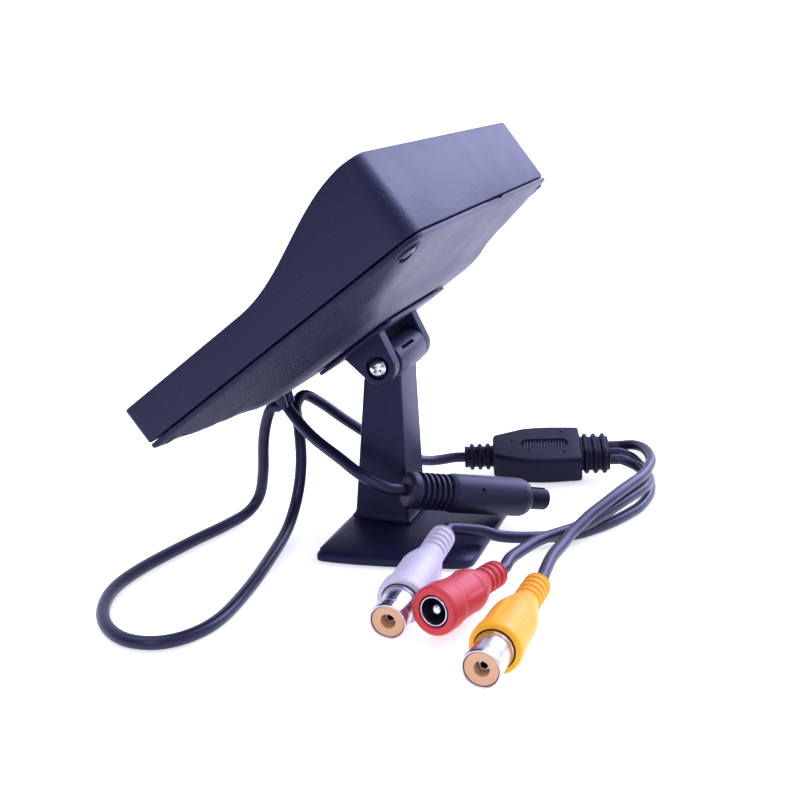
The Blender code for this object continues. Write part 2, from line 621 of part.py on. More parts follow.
def make_stand_post():
    def ring(half, z):
        return ring_at_z(rounded_rectangle(half[0], -half[1], half[1], 1.0, 2), z)

    foot_lip = (POST_FOOT_HALF[0] + 0.7, POST_FOOT_HALF[1] + 0.7)
    mesh = loft_mesh("stand_post", [ring(foot_lip, POST_BOTTOM_Z), ring(foot_lip, POST_BOTTOM_Z + 0.7),
                                    ring(POST_FOOT_HALF, POST_BOTTOM_Z + 1.7), ring(POST_TOP_HALF, POST_TOP_Z),
                                    [(x, max(y, -1.0), z) for x, y, z in ring(POST_TOP_HALF, POST_CROWN_Z)]])
    post = add_object("stand_post", mesh, "stand_black")
    axis = HEAD_MATRIX @ Vector((0.0, AXIS_Y, AXIS_Z))
    left, right = (Vector((side * KNUCKLE_HALF_WIDTH, axis.y, axis.z)) for side in (-1, 1))
    combine(post, add_object("knuckle", cylinder_mesh("knuckle", KNUCKLE_RADIUS, left, right, 32)), "UNION")
    bore = cylinder_mesh("knuckle_bore", PIVOT_BORE, (-20.0, axis.y, axis.z), (20.0, axis.y, axis.z), 20)
    combine(post, add_object("knuckle_bore", bore), "DIFFERENCE")
    slit = box_mesh("knuckle_slit", (-3.0, axis.y + 2.2, axis.z + 3.0), (6.0, axis.y + 4.2, axis.z + 3.6))
    combine(post, add_object("knuckle_slit", slit), "DIFFERENCE")
    screw_bore = cylinder_mesh("foot_bore", 1.6, (0.0, 0.0, -5.0), (0.0, 0.0, 14.0), 16)
    combine(post, add_object("foot_bore", screw_bore), "DIFFERENCE")


def base_outline(scale):
    """Footprint of the base, shrunk toward its centre line near the front."""
    corners = [(29.2, -9.6), (28.6, -1.8), (27.1, 7.3), (24.3, 19.0), (21.6, 28.2),
               (-21.6, 28.2), (-24.3, 19.0), (-27.1, 7.3), (-28.6, -1.8), (-29.2, -9.6)]
    radii = [3.0, 0, 0, 0, 5.0, 5.0, 0, 0, 0, 3.0]
    outline = rounded_polygon(corners, radii, 4)
    return [(x * scale, BASE_CENTRE_Y + (y - BASE_CENTRE_Y) * scale) for x, y in outline]


def make_stand_base():
    stages = [(0.985, 0.3), (1.0, 0.8), (1.0, 1.9), (0.988, 2.6), (0.955, 3.0), (0.85, 3.3), (0.7, BASE_TOP_Z)]
    rings = [ring_at_z(base_outline(scale), z) for scale, z in stages]
    base = add_object("stand_base", loft_mesh("stand_base", rings), "stand_black")
    pocket = loft_mesh("pad_pocket", [ring_at_z(base_outline(0.945), z) for z in (-2.0, PAD_TOP_Z + GAP)])
    combine(base, add_object("pad_pocket", pocket), "DIFFERENCE")
    sink = cylinder_mesh("screw_sink", 3.5, (0.0, 0.0, 1.0), (0.0, 0.0, 2.9), 24, 1.9)
    combine(base, add_object("screw_sink", sink), "DIFFERENCE")
    hole = cylinder_mesh("screw_hole", 1.8, (0.0, 0.0, 1.0), (0.0, 0.0, 9.0), 16)
    combine(base, add_object("screw_hole", hole), "DIFFERENCE")


def make_base_screw():
    profile = [(0.0, 12.6), (0.5, 12.6), (1.25, 11.6), (1.25, 2.9), (2.7, 1.55), (0.0, 1.55)]
    turned("base_screw", profile, "steel", steps=14)


def make_adhesive_pad():
    rings = [ring_at_z(base_outline(0.93), z) for z in (0.0, PAD_TOP_Z)]
    add_object("adhesive_pad", loft_mesh("adhesive_pad", rings), "foam_grey")


# ---------------------------------------------------------------- camera plug

def ribs(first, count, pitch, outer, inner):
    """(radius, distance) pairs of moulded ring ribs, listed along the axis."""
    points = []
    for i in range(count):
        at = first + i * pitch
        points += [(inner, at), (outer, at + pitch * 0.35), (outer, at + pitch * 0.85)]
    return points


def make_plug():
    matrix = along(PLUG_START, PLUG_END)
    body = [(0.0, 0.0), (3.7, 0.0), (4.5, 0.5), (4.7, 2.8)] + ribs(3.2, 5, 2.3, 4.7, 3.9)
    body += [(4.7, 15.2), (4.9, 16.0), (4.9, 33.6), (4.2, 35.4), (3.5, 36.0), (3.3, 36.0), (3.3, 32.7), (0.0, 32.7)]
    turned("plug_body", list(reversed(body)), "cable_black", None, matrix, 16)
    length = (Vector(PLUG_END) - Vector(PLUG_START)).length
    nose = [(0.0, 33.0), (2.95, 33.0), (2.95, length - 0.5), (2.5, length), (0.0, length)]
    nose_object = turned("plug_nose", list(reversed(nose)), "rubber_black", None, matrix, 16)
    key = box_mesh("plug_key", (-0.7, 2.2, 36.5), (0.7, 4.0, 60.0))
    combine(nose_object, add_object("plug_key", key, None, None, matrix.copy()), "DIFFERENCE")
    for i in range(4):
        angle = math.radians(45 + 90 * i)
        x, y = 1.35 * math.cos(angle), 1.35 * math.sin(angle)
        hole = cylinder_mesh(f"contact_hole_{i}", 0.7, (x, y, length - 4.0), (x, y, 60.0), 10)
        combine(nose_object, add_object(hole.name, hole, None, None, matrix.copy()), "DIFFERENCE")
        contact = cylinder_mesh(f"plug_contact_{i + 1}", 0.4, (x, y, length - 3.7), (x, y, length - 0.6), 8)
        add_object(contact.name, contact, "brass", None, matrix.copy())


# ---------------------------------------------------------------- splitter

def splitter_matrix():
    """Local X runs along the box, local Z is the outward normal of its broad face."""
    axis = unit(SPLITTER_START, SPLITTER_END)
    side = axis.cross(Vector((0.0, 0.0, 1.0))).normalized()
    up = side.cross(axis)
    near = side * math.cos(SPLITTER_ROLL) - up * math.sin(SPLITTER_ROLL)
    normal = near.cross(axis)
    rotation = Matrix((axis, -near, normal)).transposed().to_4x4()
    return Matrix.Translation(Vector(SPLITTER_START) * MM) @ rotation


def make_splitter():
    length = (Vector(SPLITTER_END) - Vector(SPLITTER_START)).length

    def ring(x, half_width, half_height, radius):
        outline = rounded_rectangle(half_width, -half_height, half_height, radius, 3)
        return [(x, u, w) for u, w in outline]

    rings = [ring(-7.6, 3.0, 3.0, 2.9)]
    for i in range(3):
        at = -7.4 + 2.4 * i
        rings += [ring(at, 3.5, 3.5, 3.4), ring(at + 1.1, 3.5, 3.5, 3.4), ring(at + 1.5, 2.8, 2.8, 2.7)]
    rings += [ring(0.0, 4.9, 3.3, 1.2), ring(0.6, 5.4, 3.7, 1.2), ring(9.0, 8.3, 3.7, 1.2),
              ring(17.0, 8.7, 3.7, 1.2), ring(length - 0.6, 8.2, 3.7, 1.2), ring(length, 7.7, 3.3, 1.2)]
    for i in range(3):
        at = length + 0.3 + 2.6 * i
        rings += [ring(at, 5.8, 3.1, 3.0), ring(at + 0.8, 6.5, 3.8, 3.6), ring(at + 2.0, 6.4, 3.8, 3.6)]
    rings += [ring(length + 8.2, 5.8, 3.1, 3.0)]
    matrix = splitter_matrix()
    box = add_object("splitter_box", loft_mesh("splitter_box", rings), "cable_black", None, matrix)
    outline = rounded_rectangle(7.0, -2.2, 2.2, 2.15, 5)
    recess = loft_mesh("grip_recess", [ring_at_z([(15.0 + u, w) for u, w in outline], z) for z in (3.2, 6.0)])
    combine(box, add_object("grip_recess", recess, None, None, matrix.copy()), "DIFFERENCE")
    return matrix


def splitter_point(matrix, x, y):
    return tuple((matrix @ (Vector((x, y, 0.0)) * MM)) / MM)


# ---------------------------------------------------------------- sockets

def make_video_socket(colour, start, end):
    """Phono socket: moulded boot, metal barrel, tan insulator and a spring contact down its bore."""
    matrix = along(start, end)
    name = f"video_{colour}"
    length = (Vector(end) - Vector(start)).length
    front = length - 9.0
    boot = [(0.0, 0.0), (2.7, 0.0), (3.1, 0.5)] + ribs(0.9, 4, 2.3, 3.2, 2.6)
    boot += [(3.1, 10.6), (3.4, 12.5), (4.7, 17.5), (5.2, 20.5), (5.3, front - 4.0), (5.55, front - 3.4),
             (5.6, front - 0.6), (5.2, front), (4.5, front), (4.5, front - 8.3), (0.0, front - 8.3)]
    turned(f"{name}_boot", list(reversed(boot)), f"boot_{colour}", None, matrix, 16)
    back = front - 8.0
    barrel = [(0.0, back), (4.15, back), (4.15, length - 0.3), (3.95, length), (3.7, length), (3.6, length - 0.3),
              (3.6, back + 1.5), (0.0, back + 1.5)]
    turned(f"{name}_barrel", list(reversed(barrel)), "nickel", None, matrix, 18)
    tip = length - 0.35
    bed = back + 1.8
    insulator = [(0.0, bed), (3.3, bed), (3.3, tip), (1.6, tip), (1.6, bed + 3.0), (0.0, bed + 3.0)]
    turned(f"{name}_insulator", list(reversed(insulator)), "insulator_tan", None, matrix, 16)
    contact = [(0.0, bed + 3.3), (1.25, bed + 3.3), (1.25, tip - 2.0), (0.85, tip - 2.0), (0.85, bed + 4.3),
               (0.0, bed + 4.3)]
    turned(f"{name}_contact", list(reversed(contact)), "nickel", None, matrix, 12)


def make_power_socket(start, end):
    """Coaxial power socket: flared boot, metal sleeve, black insert and centre pin."""
    matrix = along(start, end)
    length = (Vector(end) - Vector(start)).length
    boot = [(0.0, 0.0), (2.7, 0.0), (3.1, 0.5)] + ribs(0.9, 3, 2.3, 3.2, 2.6)
    boot += [(3.1, 8.3), (4.0, 10.5), (4.8, 13.0), (5.0, 15.0), (5.0, length - 6.0), (5.4, length - 4.8),
             (5.4, length - 0.6), (5.0, length), (3.55, length), (3.55, 14.0), (0.0, 14.0)]
    turned("power_red_boot", list(reversed(boot)), "boot_red", None, matrix, 16)
    sleeve = [(0.0, 14.3), (3.25, 14.3), (3.25, length - 0.2), (2.85, length - 0.2), (2.85, 15.5), (0.0, 15.5)]
    turned("power_red_sleeve", list(reversed(sleeve)), "nickel", None, matrix, 18)
    insert = [(0.0, 15.8), (2.55, 15.8), (2.55, 18.5), (0.0, 18.5)]
    turned("power_red_insert", list(reversed(insert)), "rubber_black", None, matrix, 16)
    pin = [(0.0, 18.8), (1.05, 18.8), (1.05, length - 1.8), (0.7, length - 1.3), (0.0, length - 1.3)]
    turned("power_red_pin", list(reversed(pin)), "nickel", None, matrix, 14)


# ---------------------------------------------------------------- leads

def smooth_route(points, count):
    """Straight stubs at both ends and, between them, evenly spaced points read from a smooth curve."""
    knots = [Vector(point) for point in points]
    dense = []
    steps = 12
    for i in range(1, len(knots) - 2):
        a, b, c, d = knots[i - 1], knots[i], knots[i + 1], knots[i + 2]
        for k in range(steps):
            t = k / steps
            dense.append(0.5 * (2 * b + (c - a) * t + (2 * a - 5 * b + 4 * c - d) * t ** 2
                                + (3 * b - a - 3 * c + d) * t ** 3))
    dense.append(knots[-2])
    travelled = [0.0]
    for first, second in zip(dense, dense[1:]):
        travelled.append(travelled[-1] + (second - first).length)
    route = [knots[0]]
    k = 0
    for i in range(count):
        goal = travelled[-1] * i / (count - 1)
        while k < len(dense) - 2 and travelled[k + 1] < goal:
            k += 1
        share = (goal - travelled[k]) / (travelled[k + 1] - travelled[k])
        route.append(dense[k].lerp(dense[k + 1], share))
    return route + [knots[-1]]


def make_lead(name, points, count, material="cable_black"):
    curve = bpy.data.curves.new(name, "CURVE")
    curve.dimensions = "3D"
    curve.bevel_depth = LEAD_RADIUS * MM
    curve.bevel_resolution = LEAD_SIDES
    curve.use_fill_caps = True
    spline = curve.splines.new("POLY")
    route = smooth_route(points, count)
    spline.points.add(len(route) - 1)
    for place, point in zip(spline.points, route):
        place.co = (*(point * MM), 1.0)
    curve.materials.append(MATERIALS[material])
    obj = bpy.data.objects.new(name, curve)
    PARTS.objects.link(obj)


def before(start, end, distance):
    """Point on the line of a fitting, a distance before its tail end."""
    return tuple(Vector(start) - unit(start, end) * distance)


def make_leads(split):
    snout = 3.2
    clear = GAP
    harness_start = [grommet_exit(2.3, snout + clear), grommet_exit(2.3, snout + 3.0)]
    relief = splitter_point(split, -7.6 - clear, 0.0)
    relief_approach = splitter_point(split, -7.6 - 3.5, 0.0)
    make_lead("harness_lead", harness_start + HARNESS_ROUTE + [relief_approach, relief], HARNESS_POINTS)
    camera_start = [grommet_exit(-2.3, snout + clear), grommet_exit(-2.3, snout + 2.5)]
    camera_end = [before(PLUG_START, PLUG_END, 4.0), before(PLUG_START, PLUG_END, clear)]
    make_lead("camera_lead", camera_start + CAMERA_ROUTE + camera_end, CAMERA_POINTS)
    length = (Vector(SPLITTER_END) - Vector(SPLITTER_START)).length
    places = {"yellow": 1, "white": 0, "red": -1}
    routes = {"yellow": YELLOW_ROUTE, "white": WHITE_ROUTE, "red": RED_ROUTE}
    names = {"yellow": "video_lead_yellow", "white": "video_lead_white", "red": "power_lead_red"}
    for colour, place in places.items():
        across = place * SPLITTER_LEAD_SPACING
        first = splitter_point(split, length + 8.2 + clear, across)
        second = splitter_point(split, length + 8.2 + 3.0, across)
        start, end = SOCKETS[colour]
        last = [before(start, end, 4.0), before(start, end, clear)]
        make_lead(names[colour], [first, second] + routes[colour] + last, PIGTAIL_POINTS)


# ---------------------------------------------------------------- assembly

make_front_bezel()
make_rear_cover()
make_grommet()
make_screen()
make_electronics()
make_buttons()
make_case_screws()
make_hinge_bracket()
make_pivot()
make_stand_post()
make_stand_base()
make_base_screw()
make_adhesive_pad()
make_plug()
SPLIT = make_splitter()
make_video_socket("white", *SOCKETS["white"])
make_video_socket("yellow", *SOCKETS["yellow"])
make_power_socket(*SOCKETS["red"])
make_leads(SPLIT)
for part in PARTS.objects:
    if part.type == "MESH":
        shade(part)
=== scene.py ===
"""Looks for the hooded vehicle monitor: camera, light, materials and the fine surfaces around the CAD frame."""
import math

import bmesh
import bpy
from mathutils import Matrix, Vector

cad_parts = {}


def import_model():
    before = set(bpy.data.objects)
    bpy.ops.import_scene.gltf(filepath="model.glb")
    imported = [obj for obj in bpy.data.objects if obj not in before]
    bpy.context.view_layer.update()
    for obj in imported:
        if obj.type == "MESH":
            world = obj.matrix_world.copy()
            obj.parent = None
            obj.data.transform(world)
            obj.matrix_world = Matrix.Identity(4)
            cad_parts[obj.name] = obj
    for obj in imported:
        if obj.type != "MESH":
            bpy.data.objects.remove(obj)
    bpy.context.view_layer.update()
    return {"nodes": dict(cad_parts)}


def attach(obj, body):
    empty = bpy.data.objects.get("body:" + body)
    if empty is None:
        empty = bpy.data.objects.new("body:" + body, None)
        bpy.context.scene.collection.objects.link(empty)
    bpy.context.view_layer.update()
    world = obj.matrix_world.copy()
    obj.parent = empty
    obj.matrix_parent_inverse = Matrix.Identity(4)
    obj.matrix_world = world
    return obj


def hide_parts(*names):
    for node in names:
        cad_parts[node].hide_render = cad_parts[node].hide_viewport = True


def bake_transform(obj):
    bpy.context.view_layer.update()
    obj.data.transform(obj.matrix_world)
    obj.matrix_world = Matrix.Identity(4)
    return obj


MM = 0.001
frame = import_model()
NODES = frame["nodes"]
SCENE = bpy.context.scene

# ---------------------------------------------------------------- camera and light

CAMERA_PLACE = (0.26725, 0.09416, 0.11872)
CAMERA_YAW = math.radians(18.92)
CAMERA_PITCH = math.radians(16.6)
CAMERA_LENS = 51.73


def make_camera():
    data = bpy.data.cameras.new("camera")
    data.lens = CAMERA_LENS
    data.sensor_width = 36.0
    data.clip_start = 0.01
    data.clip_end = 20.0
    camera = bpy.data.objects.new("camera", data)
    SCENE.collection.objects.link(camera)
    flat = math.cos(CAMERA_PITCH)
    forward = Vector((-math.cos(CAMERA_YAW) * flat, -math.sin(CAMERA_YAW) * flat, -math.sin(CAMERA_PITCH)))
    camera.location = CAMERA_PLACE
    camera.rotation_euler = forward.to_track_quat("-Z", "Y").to_euler()
    SCENE.camera = camera


def make_area_light(name, place, target, size, power, colour=(1.0, 1.0, 1.0)):
    data = bpy.data.lights.new(name, "AREA")
    data.shape = "RECTANGLE"
    data.size, data.size_y = size
    data.energy = power
    data.color = colour
    light = bpy.data.objects.new(name, data)
    SCENE.collection.objects.link(light)
    light.location = place
    light.rotation_euler = (Vector(target) - Vector(place)).to_track_quat("-Z", "Y").to_euler()


def make_studio():
    """White surroundings, darker behind the camera, with soft boxes behind, above and to the left."""
    SCENE.view_settings.view_transform = "Standard"
    world = bpy.data.worlds.new("studio")
    SCENE.world = world
    world.use_nodes = True
    tree = world.node_tree
    background = tree.nodes["Background"]
    coordinates = tree.nodes.new("ShaderNodeTexCoord")
    split = tree.nodes.new("ShaderNodeSeparateXYZ")
    ramp = tree.nodes.new("ShaderNodeMapRange")
    ramp.inputs["From Min"].default_value = -0.2
    ramp.inputs["From Max"].default_value = 0.9
    ramp.inputs["To Min"].default_value = 1.02
    ramp.inputs["To Max"].default_value = 0.27
    ramp.interpolation_type = "SMOOTHSTEP"
    tree.links.new(coordinates.outputs["Generated"], split.inputs["Vector"])
    tree.links.new(split.outputs["X"], ramp.inputs["Value"])
    tree.links.new(ramp.outputs["Result"], background.inputs["Strength"])
    background.inputs["Color"].default_value = (1.0, 1.0, 1.35, 1.0)
    make_area_light("back_light", (-0.7, 0.42, 0.62), (0.0, 0.0, 0.06), (0.8, 0.8), 14.0, (0.6, 0.63, 1.0))
    make_area_light("top_light", (0.15, -0.25, 0.95), (0.0, 0.02, 0.0), (0.7, 0.7), 3.2, (0.86, 0.86, 1.0))
    make_area_light("key_light", (0.95, 0.1, 0.55), (0.02, 0.02, 0.04), (0.4, 0.4), 3.2, (0.86, 0.86, 1.0))


def make_floor():
    mesh = bpy.data.meshes.new("floor")
    bm = bmesh.new()
    bmesh.ops.create_grid(bm, x_segments=1, y_segments=1, size=6.0)
    bm.to_mesh(mesh)
    bm.free()
    floor = bpy.data.objects.new("floor", mesh)
    SCENE.collection.objects.link(floor)
    floor.location = (0.0, 0.0, -0.0002)
    material = bpy.data.materials.new("studio_floor")
    material.use_nodes = True
    shader = material.node_tree.nodes["Principled BSDF"]
    shader.inputs["Base Color"].default_value = (0.93, 0.93, 0.94, 1.0)
    shader.inputs["Roughness"].default_value = 0.75
    shader.inputs["Specular IOR Level"].default_value = 0.2
    shader.inputs["Emission Color"].default_value = (1.0, 1.0, 1.0, 1.0)
    shader.inputs["Emission Strength"].default_value = 0.55
    mesh.materials.append(material)


make_camera()
make_studio()
make_floor()

# ---------------------------------------------------------------- materials


def add_node(tree, kind, **inputs):
    node = tree.nodes.new(kind)
    for key, value in inputs.items():
        node.inputs[key.replace("_", " ")].default_value = value
    return node


def base_material(name, colour, roughness, metallic=0.0, specular=0.5, tint=None, coat=0.0):
    material = bpy.data.materials.new(name)
    material.use_nodes = True
    shader = material.node_tree.nodes["Principled BSDF"]
    shader.inputs["Base Color"].default_value = (*colour, 1.0)
    shader.inputs["Roughness"].default_value = roughness
    shader.inputs["Metallic"].default_value = metallic
    shader.inputs["Specular IOR Level"].default_value = specular
    if tint:
        shader.inputs["Specular Tint"].default_value = (*tint, 1.0)
    if coat:
        shader.inputs["Coat Weight"].default_value = coat
        shader.inputs["Coat Roughness"].default_value = 0.12
    return material, shader


def grained(name, colour, roughness, grain, depth, spread=0.08, shift=0.25, **more):
    """Moulded surface: fine grain in the bump and the colour, slow drift in the roughness."""
    material, shader = base_material(name, colour, roughness, **more)
    tree = material.node_tree
    place = tree.nodes.new("ShaderNodeTexCoord")
    fine = add_node(tree, "ShaderNodeTexNoise", Scale=grain, Detail=4.0, Roughness=0.6)
    slow = add_node(tree, "ShaderNodeTexNoise", Scale=60.0, Detail=3.0, Roughness=0.5)
    for noise in (fine, slow):
        tree.links.new(place.outputs["Object"], noise.inputs["Vector"])
    bump = add_node(tree, "ShaderNodeBump", Strength=1.0, Distance=depth)
    tree.links.new(fine.outputs["Fac"], bump.inputs["Height"])
    tree.links.new(bump.outputs["Normal"], shader.inputs["Normal"])
    rough = add_node(tree, "ShaderNodeMapRange", To_Min=roughness - spread, To_Max=roughness + spread)
    tree.links.new(slow.outputs["Fac"], rough.inputs["Value"])
    tree.links.new(rough.outputs["Result"], shader.inputs["Roughness"])
    mix = tree.nodes.new("ShaderNodeMix")
    mix.data_type = "RGBA"
    mix.inputs[6].default_value = (*[c * (1 - shift) for c in colour], 1.0)
    mix.inputs[7].default_value = (*[min(1.0, c * (1 + shift)) for c in colour], 1.0)
    blend = add_node(tree, "ShaderNodeMath")
    blend.operation = "MULTIPLY_ADD"
    blend.inputs[1].default_value = 0.6
    blend.inputs[2].default_value = 0.2
    tree.links.new(fine.outputs["Fac"], blend.inputs[0])
    tree.links.new(blend.outputs["Value"], mix.inputs[0])
    tree.links.new(mix.outputs[2], shader.inputs["Base Color"])
    return material


VIOLET = (0.66, 0.68, 1.0)
LOOKS = {
    "case_black": grained("moulded_case", (0.0035, 0.004, 0.019), 0.46, 1900.0, 0.00016, tint=VIOLET, specular=0.33,
                          shift=0.6),
    "stand_black": grained("moulded_stand", (0.009, 0.0095, 0.031), 0.42, 1800.0, 0.00004, tint=VIOLET,
                           specular=0.22, shift=0.4),
    "cable_black": grained("soft_pvc", (0.008, 0.0085, 0.026), 0.34, 900.0, 0.00002, tint=VIOLET, specular=0.42),
    "plug_black": grained("plug_pvc", (0.013, 0.0125, 0.029), 0.42, 1500.0, 0.00004, tint=VIOLET, specular=0.34,
                          shift=0.4),
    "rubber_black": grained("dull_rubber", (0.006, 0.006, 0.017), 0.50, 1500.0, 0.00003, tint=VIOLET, specular=0.20),
    "boot_white": grained("white_pvc", (0.57, 0.535, 0.62), 0.42, 700.0, 0.00002, shift=0.03, specular=0.3),
    "boot_yellow": grained("yellow_pvc", (0.85, 0.38, 0.015), 0.42, 700.0, 0.00002, shift=0.05, specular=0.22),
    "boot_red": grained("red_pvc", (0.53, 0.042, 0.05), 0.44, 700.0, 0.00002, shift=0.09, specular=0.25),
    "insulator_tan": grained("tan_insulator", (0.58, 0.32, 0.165), 0.46, 1200.0, 0.00002, shift=0.06),
    "board_green": grained("solder_mask", (0.02, 0.16, 0.06), 0.4, 800.0, 0.00002),
    "foam_grey": grained("foam_tape", (0.05, 0.05, 0.06), 0.92, 1600.0, 0.00015, shift=0.4),
    "lcd_glass": grained("panel_glass", (0.010, 0.010, 0.014), 0.16, 300.0, 0.000004, spread=0.03),
    "lens_clear": grained("lens_acrylic", (0.006, 0.007, 0.012), 0.06, 200.0, 0.000001, spread=0.02, specular=0.6),
}


def metal(name, colour, roughness, grain, depth):
    """Plated metal with fine scratches that run across the part."""
    material, shader = base_material(name, colour, roughness, metallic=1.0)
    tree = material.node_tree
    place = tree.nodes.new("ShaderNodeTexCoord")
    stretch = add_node(tree, "ShaderNodeMapping", Scale=(1.0, 6.0, 6.0))
    tree.links.new(place.outputs["Object"], stretch.inputs["Vector"])
    noise = add_node(tree, "ShaderNodeTexNoise", Scale=grain, Detail=5.0, Roughness=0.65)
    tree.links.new(stretch.outputs["Vector"], noise.inputs["Vector"])
    rough = add_node(tree, "ShaderNodeMapRange", To_Min=roughness * 0.6, To_Max=roughness * 1.6)
    tree.links.new(noise.outputs["Fac"], rough.inputs["Value"])
    tree.links.new(rough.outputs["Result"], shader.inputs["Roughness"])
    bump = add_node(tree, "ShaderNodeBump", Strength=0.6, Distance=depth)
    tree.links.new(noise.outputs["Fac"], bump.inputs["Height"])
    tree.links.new(bump.outputs["Normal"], shader.inputs["Normal"])
    return material


LOOKS["nickel"] = metal("nickel_plate", (0.62, 0.62, 0.70), 0.20, 300.0, 0.000006)
LOOKS["steel"] = metal("zinc_plate", (0.62, 0.61, 0.66), 0.28, 500.0, 0.00001)
LOOKS["backlight_metal"] = metal("pressed_sheet", (0.70, 0.70, 0.72), 0.35, 300.0, 0.00001)
LOOKS["black_steel"] = metal("blackened_steel", (0.10, 0.10, 0.14), 0.30, 500.0, 0.00001)
LOOKS["brass"] = metal("brass_contact", (0.78, 0.56, 0.24), 0.25, 500.0, 0.00001)

# ---------------------------------------------------------------- shared shapes, in millimetres

PIVOT_HEIGHT = 45.0
TILT_BACK = math.radians(51.0)
HEAD_MATRIX = Matrix.Translation((0.0, 0.0, PIVOT_HEIGHT)) @ Matrix.Rotation(-TILT_BACK, 4, "X")
IDENTITY = Matrix.Identity(4)


def finish_mesh(bm, name, matrix):
    """Millimetres in the given frame to metres in the row frame."""
    bmesh.ops.transform(bm, matrix=matrix, verts=bm.verts)
    bmesh.ops.recalc_face_normals(bm, faces=bm.faces)
    bmesh.ops.scale(bm, vec=(MM, MM, MM), verts=bm.verts)
    mesh = bpy.data.meshes.new(name)
    bm.to_mesh(mesh)
    bm.free()
    return mesh


def loft(name, rings, matrix=IDENTITY, closed=False):
    """Quads between rings of equal point counts. Both ends are capped, unless closed joins the last to the first."""
    bm = bmesh.new()
    loops = [[bm.verts.new(point) for point in ring] for ring in rings]
    count = len(loops[0])
    pairs = list(zip(loops, loops[1:]))
    if closed:
        pairs.append((loops[-1], loops[0]))
    for lower, upper in pairs:
        for i in range(count):
            j = (i + 1) % count
            bm.faces.new((lower[i], lower[j], upper[j], upper[i]))
    if not closed:
        bm.faces.new(list(reversed(loops[0])))
        bm.faces.new(loops[-1])
    return finish_mesh(bm, name, matrix)


def rounded_box_outline(half, low, high, radius, per_side=1, per_corner=8, low_radius=None):
    """Rounded rectangle with the same number of points whatever its size, counter-clockwise from the right side."""
    low_radius = radius if low_radius is None else low_radius
    arcs = []
    for side, end, start, reach in ((1, 0, -90, low_radius), (1, 1, 0, radius), (-1, 1, 90, radius),
                                    (-1, 0, 180, low_radius)):
        x = side * (half - reach)
        z = high - reach if end else low + reach
        arc = []
        for k in range(per_corner + 1):
            angle = math.radians(start + 90 * k / per_corner)
            arc.append((x + reach * math.cos(angle), z + reach * math.sin(angle)))
        arcs.append(arc)
    points = []
    for i, arc in enumerate(arcs):
        points += arc
        end = arc[-1]
        goal = arcs[(i + 1) % 4][0]
        for k in range(1, per_side):
            share = k / per_side
            points.append((end[0] + (goal[0] - end[0]) * share, end[1] + (goal[1] - end[1]) * share))
    return points


def at_y(outline, y):
    return [(x, y, z) for x, z in outline]


def at_z(outline, z):
    return [(x, y, z) for x, y in outline]


def at_x(outline, x):
    return [(x, y, z) for y, z in outline]


def grown(outline, distance):
    """Convex outline moved out by a distance along its own normals."""
    count = len(outline)
    area = sum(outline[i][0] * outline[(i + 1) % count][1] - outline[(i + 1) % count][0] * outline[i][1]
               for i in range(count))
    turn = 1.0 if area > 0 else -1.0
    result = []
    for i in range(count):
        before, here, after = Vector(outline[i - 1]), Vector(outline[i]), Vector(outline[(i + 1) % count])
        first, second = (here - before).normalized(), (after - here).normalized()
        normals = [Vector((d.y, -d.x)) * turn for d in (first, second)]
        middle = (normals[0] + normals[1]).normalized()
        reach = distance / max(0.3, middle.dot(normals[0]))
        result.append(tuple(here + middle * reach))
    return result


def soft_prism(name, outline, start, end, place, edge=0.4, steps=3, matrix=IDENTITY):
    """Prism of a convex outline between two planes, with rounded edges. place is at_x, at_y or at_z."""
    toward = 1.0 if end > start else -1.0
    rings = []
    for k in range(steps + 1):
        angle = math.pi / 2 * k / steps
        rings.append(place(grown(outline, -edge * (1 - math.sin(angle))),
                           start + toward * edge * (1 - math.cos(angle))))
    for k in range(steps + 1):
        angle = math.pi / 2 * (1 - k / steps)
        rings.append(place(grown(outline, -edge * (1 - math.sin(angle))),
                           end - toward * edge * (1 - math.cos(angle))))
    return loft(name, rings, matrix)


def soft_profile(points, radius=0.2, steps=3):
    """Turned profile with each inner corner rounded."""
    result = [points[0]]
    for before, here, after in zip(points, points[1:], points[2:]):
        here = Vector(here)
        back, ahead = Vector(before) - here, Vector(after) - here
        cut = min(radius, back.length * 0.45, ahead.length * 0.45)
        if cut < 0.01 or abs(back.angle(ahead) - math.pi) < 0.12:
            result.append(tuple(here))
            continue
        first, last = here + back.normalized() * cut, here + ahead.normalized() * cut
        for k in range(steps + 1):
            t = k / steps
            result.append(tuple(first * (1 - t) ** 2 + here * (2 * t * (1 - t)) + last * t ** 2))
    return result + [points[-1]]


def turned(name, profile, matrix, sides=64, dent=None):
    """Solid turned about local Z from (radius, height) pairs. dent gives how far to press the surface in."""
    bm = bmesh.new()
    loops = []
    for radius, height in profile:
        if radius < 1e-6:
            loops.append(bm.verts.new((0.0, 0.0, height)))
            continue
        ring = []
        for i in range(sides):
            angle = math.tau * i / sides
            reach = radius - (dent(radius, height, angle) if dent else 0.0)
            ring.append(bm.verts.new((reach * math.cos(angle), reach * math.sin(angle), height)))
        loops.append(ring)
    for lower, upper in zip(loops, loops[1:]):
        for i in range(sides):
            j = (i + 1) % sides
            if not isinstance(lower, list):
                bm.faces.new((lower, upper[j], upper[i]))
            elif not isinstance(upper, list):
                bm.faces.new((lower[i], lower[j], upper))
            else:
                bm.faces.new((lower[i], lower[j], upper[j], upper[i]))
    return finish_mesh(bm, name, matrix)


